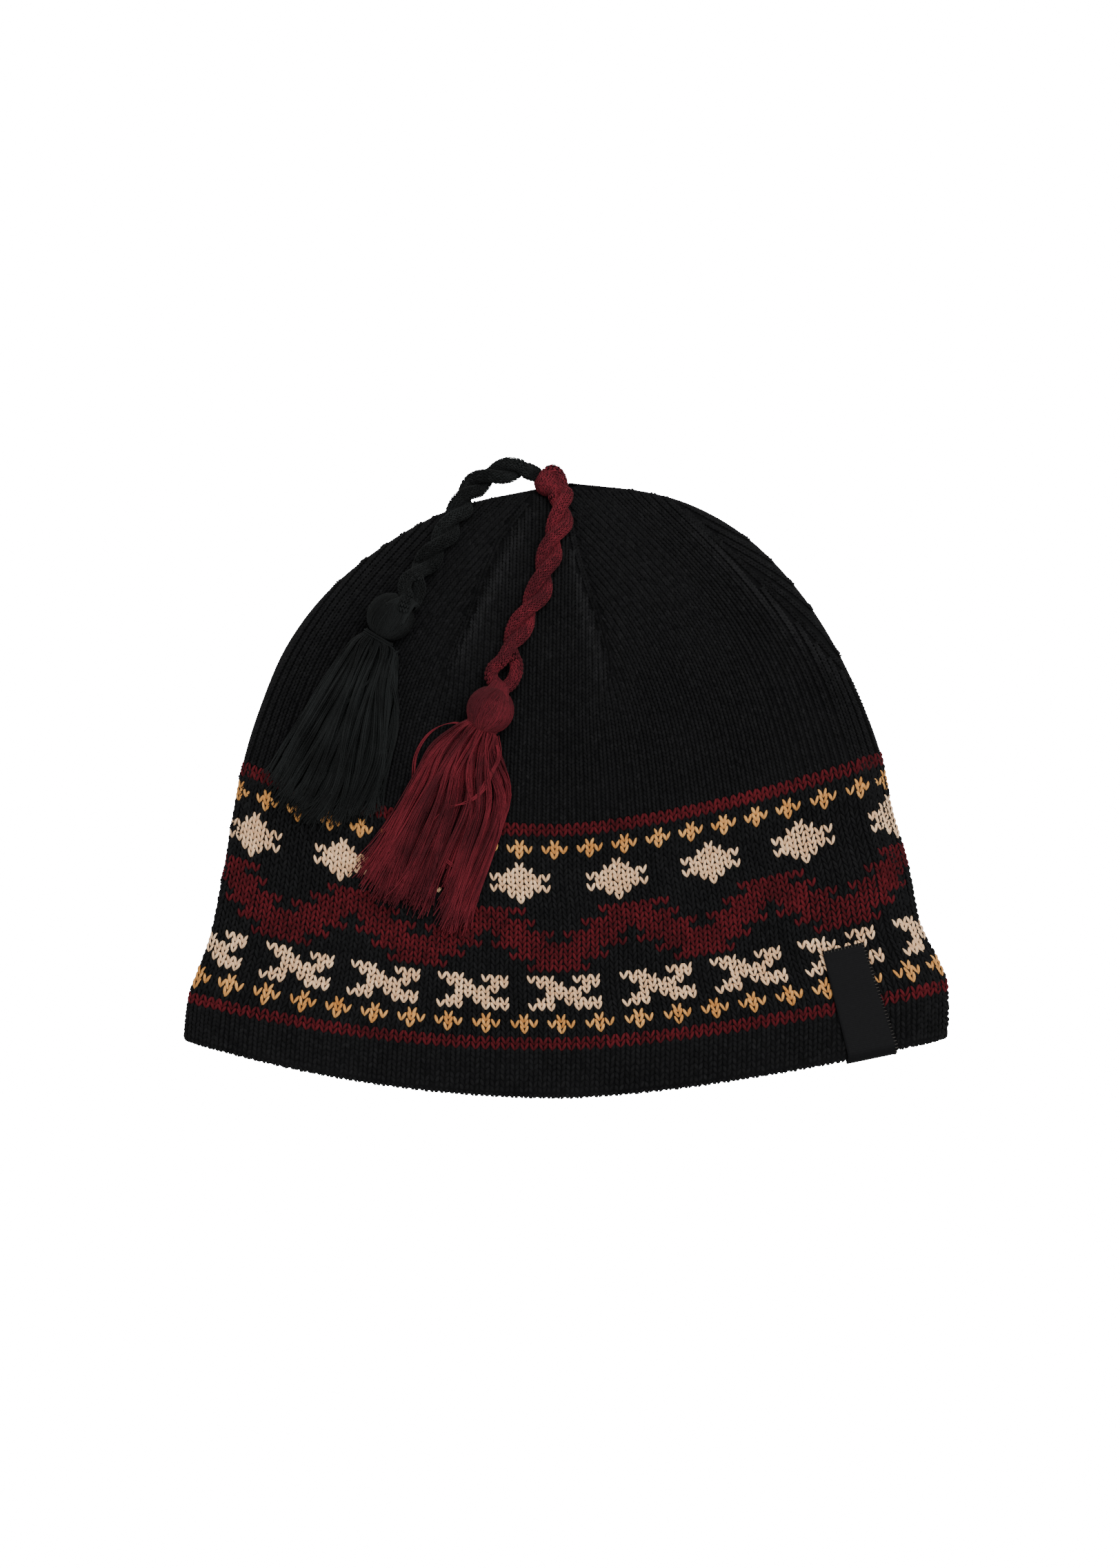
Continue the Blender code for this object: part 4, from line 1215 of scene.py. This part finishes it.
def addSaddle(name, place, yarn):
    # The bundle's threads where they hang over the cord's eye, above the ball
    count, t = tassel["saddleThreads"], np.linspace(0, 1, 14)[:, None]
    over = np.array([*fromPhoto(place["over"]), place["headZ"] + place["overRise"]])
    pole = spotOf(place, "head")
    lean = unit(pole - over)
    wide = unit(np.cross(lean, [0, 0, 1.0]))
    high = np.cross(wide, lean)
    swing = np.clip(t / 0.55, 0, 1) * pi * 0.75 - pi * 0.55
    ease = soften(np.clip((t - 0.5) / 0.5, 0, 1))
    paths, (nearOver, onPole) = [], tassel["saddleWidth"]
    for i in range(count):
        share = (i + random.random()) / count * 2 - 1
        radius = tassel["saddleRadius"] + 0.0003 * random.random()
        ring = over + (high * np.sin(swing) - lean * np.cos(swing)) * radius + wide * (share * nearOver)
        down = pole - lean * tassel["headRadius"] * 0.55 + high * tassel["saddleFoot"]
        down = down + wide * (share * onPole)
        paths.append(ring * (1 - ease) + down * ease)
    size = tassel["saddleThread"] * (0.8 + 0.4 * random.random((count, 1)))
    return addThreads(name, np.array(paths), size, 4, yarn, threadTones(count) * 0.6)


def addNeck(name, place, yarn):
    # One thread wound round the neck
    _, axis, one, two = headFrame(place)
    turns = np.linspace(0, tau * tassel["neckTurns"], 130)[:, None]
    radius = tassel["neckRadius"] * (0.92 + 0.05 * np.sin(turns * 1.7))
    spread = np.linspace(*tassel["neckSpan"], 130)[:, None] + 0.0002 * np.sin(turns * 0.6)
    ring = one * np.cos(turns) * radius * tassel["neckWide"] + two * np.sin(turns) * radius
    path = spotOf(place, "neck") + ring + axis * spread
    return addThreads(name, path[None], tassel["neckThread"], 6, yarn, -0.3)


# Knot at the top: a knitted ball, and a lobe behind it that the red cord comes out of
knot = {
    "ball": (795, 700), "ballRadius": 0.0046, "z": 0.0156,
    "lobe": [(792, 697), (793, 689), (797, 684), (803, 683), (809, 688), (814, 699), (815, 713)],
    "columns": 28, "rows": 19, "inset": 0.00032, "coreInset": 0.00034, "yarnRadius": 0.00021,
}


def addKnot(yarn, shade):
    centre = np.array([*fromPhoto(knot["ball"]), knot["z"]])
    size, rows = knot["ballRadius"], knot["rows"]

    def outward(t, a):
        return np.stack([np.sin(t) * np.cos(a), np.cos(t), np.sin(t) * np.sin(a)], -1)

    # The core under the stitches is in the darker shade yarn: painted shade in the gaps between them
    t, a = flatGrid(np.linspace(0, pi, 14), np.arange(24) * tau / 24)
    core = centre + outward(t, a) * (size - knot["coreInset"])
    ball = addMesh("knot_ball_core", core, gridFaces(14, 24, closed=True), [shade])
    t = np.arange(1, rows) * pi / rows
    around = np.maximum(6, np.round(knot["columns"] * np.sin(t)).astype(int))
    a = np.concatenate([np.arange(n) * tau / n for n in around])
    t, around = np.repeat(t, around), np.repeat(around, around)
    normal, right = outward(t, a), np.stack([-np.sin(a), 0 * a, np.cos(a)], -1)
    across = right * (tau * size * np.sin(t) / around)[:, None]
    along = np.cross(right, normal) * pi * size / rows
    stitches = addStitches(
        "knot_ball", centre + normal * (size - knot["inset"]), across, along, normal, [yarn],
        knot["yarnRadius"], 4, 3, "cord", height=0.6,
    )
    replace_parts(ball, "crown_knot")
    plan = between(fromPhoto(knot["lobe"]), np.linspace(0, len(knot["lobe"]) - 1, 24))
    lobe = np.column_stack([plan, knot["z"] + np.linspace(-0.0010, 0.0030, 24)])
    return [ball, stitches, *addStrand("knot_lobe", lobe, yarn, shade, 0.5)]


# Side tab: satin tape folded round the hem's edge. Its corners are places in the photo, and its ends
# are rows of the knit.
tab = {
    "top": [(1191, 1378), (1252, 1370)], "bottom": [(1230, 1534), (1301, 1517)],
    "topRow": [29.5, 29.45], "edgeRow": 49.6, "innerRow": 56.0, "lift": 0.00075, "thickness": 0.0005,
    "columns": 15, "rows": 60, "outsideRows": 46, "flatSize": (0.0143, 0.0445),
    "stitchSpacing": 0.0011, "stitchThread": 0.00013,
    "wales": (28, 43),          # its edges lie between these
    "straightRow": 48.0,        # its edges keep to one wale from here on
}


def hemOrBand(wale, row, inset):
    onHem = hemFrame(wale, np.maximum(row - bandFoot, 0) * hem["pitch"], inset)
    onBand = hatFrame(wale, rowPosition(np.minimum(row, bandFoot)))
    low = (row >= bandFoot)[:, None]
    point = np.where(low, onHem[0], onBand[0] - onBand[3] * inset)
    return point, np.where(low, onHem[3], onBand[3])


def waleOnLine(row, top, bottom):
    # The place across the front where a row meets a line of the plan
    number = np.arange(*tab["wales"], 0.1)
    point, _ = hemOrBand(number, np.full(len(number), row), -tab["lift"])
    run = bottom - top
    off = (point[:, 0] - top[0]) * run[1] - (point[:, 1] - top[1]) * run[0]
    return float(np.interp(0, off, number) if off[-1] > off[0] else np.interp(0, -off, number))


def addTab(material, thread):
    columns, rows, outside = tab["columns"], tab["rows"], tab["outsideRows"]
    shares = np.linspace(0, 1, columns)
    top, bottom = fromPhoto(tab["top"]), fromPhoto(tab["bottom"])
    wale, row = np.empty((rows, columns)), np.empty((rows, columns))
    for j, share in enumerate(shares):
        a, b = top[0] + (top[1] - top[0]) * share, bottom[0] + (bottom[1] - bottom[0]) * share
        row[:outside, j] = np.linspace(np.interp(share, [0, 1], tab["topRow"]), tab["edgeRow"], outside)
        row[outside:, j] = np.linspace(tab["edgeRow"], tab["innerRow"], rows - outside + 1)[1:]
        wale[:outside, j] = [waleOnLine(min(number, tab["straightRow"]), a, b) for number in row[:outside, j]]
        wale[outside:, j] = wale[outside - 1, j]
    inner, normal = hemOrBand(wale.ravel(), row.ravel(), -tab["lift"])
    outer = inner + normal * tab["thickness"]
    count, grid = rows * columns, gridFaces(rows, columns)
    index = np.arange(count).reshape(rows, columns)
    ring = np.r_[index[0], index[1:, -1], index[-1, -2::-1], index[-2:0:-1, 0]]
    after = np.roll(ring, -1)
    rim = np.stack([ring, after, after + count, ring + count], 1)
    faces = np.concatenate([grid, grid[:, ::-1] + count, rim])
    down, across = flatGrid(np.linspace(0, 1, rows), shares)
    uv = np.tile(np.stack([across, down], 1) * tab["flatSize"], (2, 1))
    piece = addMesh("side_tab", np.concatenate([inner, outer]), faces, [material], None, uv)
    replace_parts(piece, "label_tab")
    # Stitches that hold it: short bars over its right side and its top
    outer, inner = outer.reshape(rows, columns, 3), inner.reshape(rows, columns, 3)
    paths = []
    for edge in (
        (outer[:outside, -1], outer[:outside, -2], inner[:outside, -1]), (outer[0], outer[1], inner[0]),
    ):
        length = lengthAlong(edge[0])
        for at in np.arange(tab["stitchSpacing"] / 2, length[-1], tab["stitchSpacing"]):
            on, off, under = (lookUp(at, length, line) for line in edge)
            inward, lift = unit(off - on), unit(on - under) * 0.0001
            paths.append([
                on + inward * 0.0007 + lift, on + inward * 0.0002 + lift * 2, on - inward * 0.00015,
                under - lift * 2,
            ])
    addThreads("tab_stitching", np.array(paths), tab["stitchThread"], 5, thread)


# The eyes that the cords' strands end in, below the tassels' threads
eyes = {
    "red": {
        "from": 0.0138, "halfTwist": 0.0131, "starts": [(801, 699, 0.0172), (811, 696, 0.0165)],
        "left": [(729, 958, 1.2), (717, 969, 0.9), (713, 981, 0.8), (718, 991, 1.0), (727, 999, 1.6)],
        "right": [(744, 952, -0.4), (749, 964, 0.2), (748, 979, 0.6), (741, 992, 1.0), (731, 1000, 1.6)],
        "middle": [(734, 958, 0.3), (731, 972, 0.5), (730, 986, 0.6), (728, 1001, 1.6)],
    },
    "black": {
        "from": 0.0108, "halfTwist": 0.0110, "starts": [(784, 691, 0.0156), (784, 691, 0.0156)],
        "left": [
            (596, 838, 2.0), (590, 845, 3.4), (588, 852, 4.6), (589, 860, 6.0), (591, 868, 7.6),
            (588, 878, 9.0), (586, 886, 9.2),
        ],
        "right": [(606, 841, 0.8), (609, 852, 2.6), (607, 863, 3.8), (603, 873, 5.0), (597, 880, 7.0)],
        "middle": [(600, 842, 1.4), (596, 851, 3.2), (595, 864, 5.0), (590, 880, 8.0)],
    },
}
for colour, place, yarn, route in (
    ("red", redTassel, "redCordYarn", redCordRoute),
    ("black", blackTassel, "greenBlackCordYarn", blackCordRoute),
):
    yarn, shade = made[yarn], made[yarn + "Shade"]
    pieces = addHead(colour + "_tassel_head", place, yarn)
    skirt = addSkirt(colour + "_tassel_skirt", place, yarn, shade)
    binding = addNeck(colour + "_tassel_neck", place, yarn)
    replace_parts(skirt[0], colour + "_tassel")
    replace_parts(binding, colour + "_binding")
    pieces += [*skirt, binding]
    if colour == "red":
        pieces += addKnot(yarn, shade)
    addCord(colour + "_twisted_cord", colour + "_cord", route, yarn, shade, eyes[colour])
addTab(satinTape(), made["tabThread"])
print("cords, tassels, knot and tab made")


# Floor and light
stage = {"floorSize": 6.0, "worldStrength": 0.62, "sunStrength": 2.6, "sunAngle": 40, "sunTilt": (-16, 12)}


def addStage():
    half = stage["floorSize"] / 2
    corners = [(-half, -half, 0), (half, -half, 0), (half, half, 0), (-half, half, 0)]
    floor = addMesh("floor", corners, [[0, 1, 2, 3]], [paleFloor()], body=None)
    floor.visible_diffuse = False       # its own glow stays out of the light on the hat
    floor.visible_glossy = False
    world = bpy.data.worlds.new("studio")
    world.use_nodes = True
    background = {"Color": linear("#ffffff"), "Strength": stage["worldStrength"]}
    setSockets(world.node_tree.nodes["Background"], background)
    bpy.context.scene.world = world
    data = bpy.data.lights.new("softSun", "SUN")
    data.energy, data.angle = stage["sunStrength"], radians(stage["sunAngle"])
    addObject("softSun", data).rotation_euler = (*np.radians(stage["sunTilt"]), 0)


addStage()
print("floor and light placed")
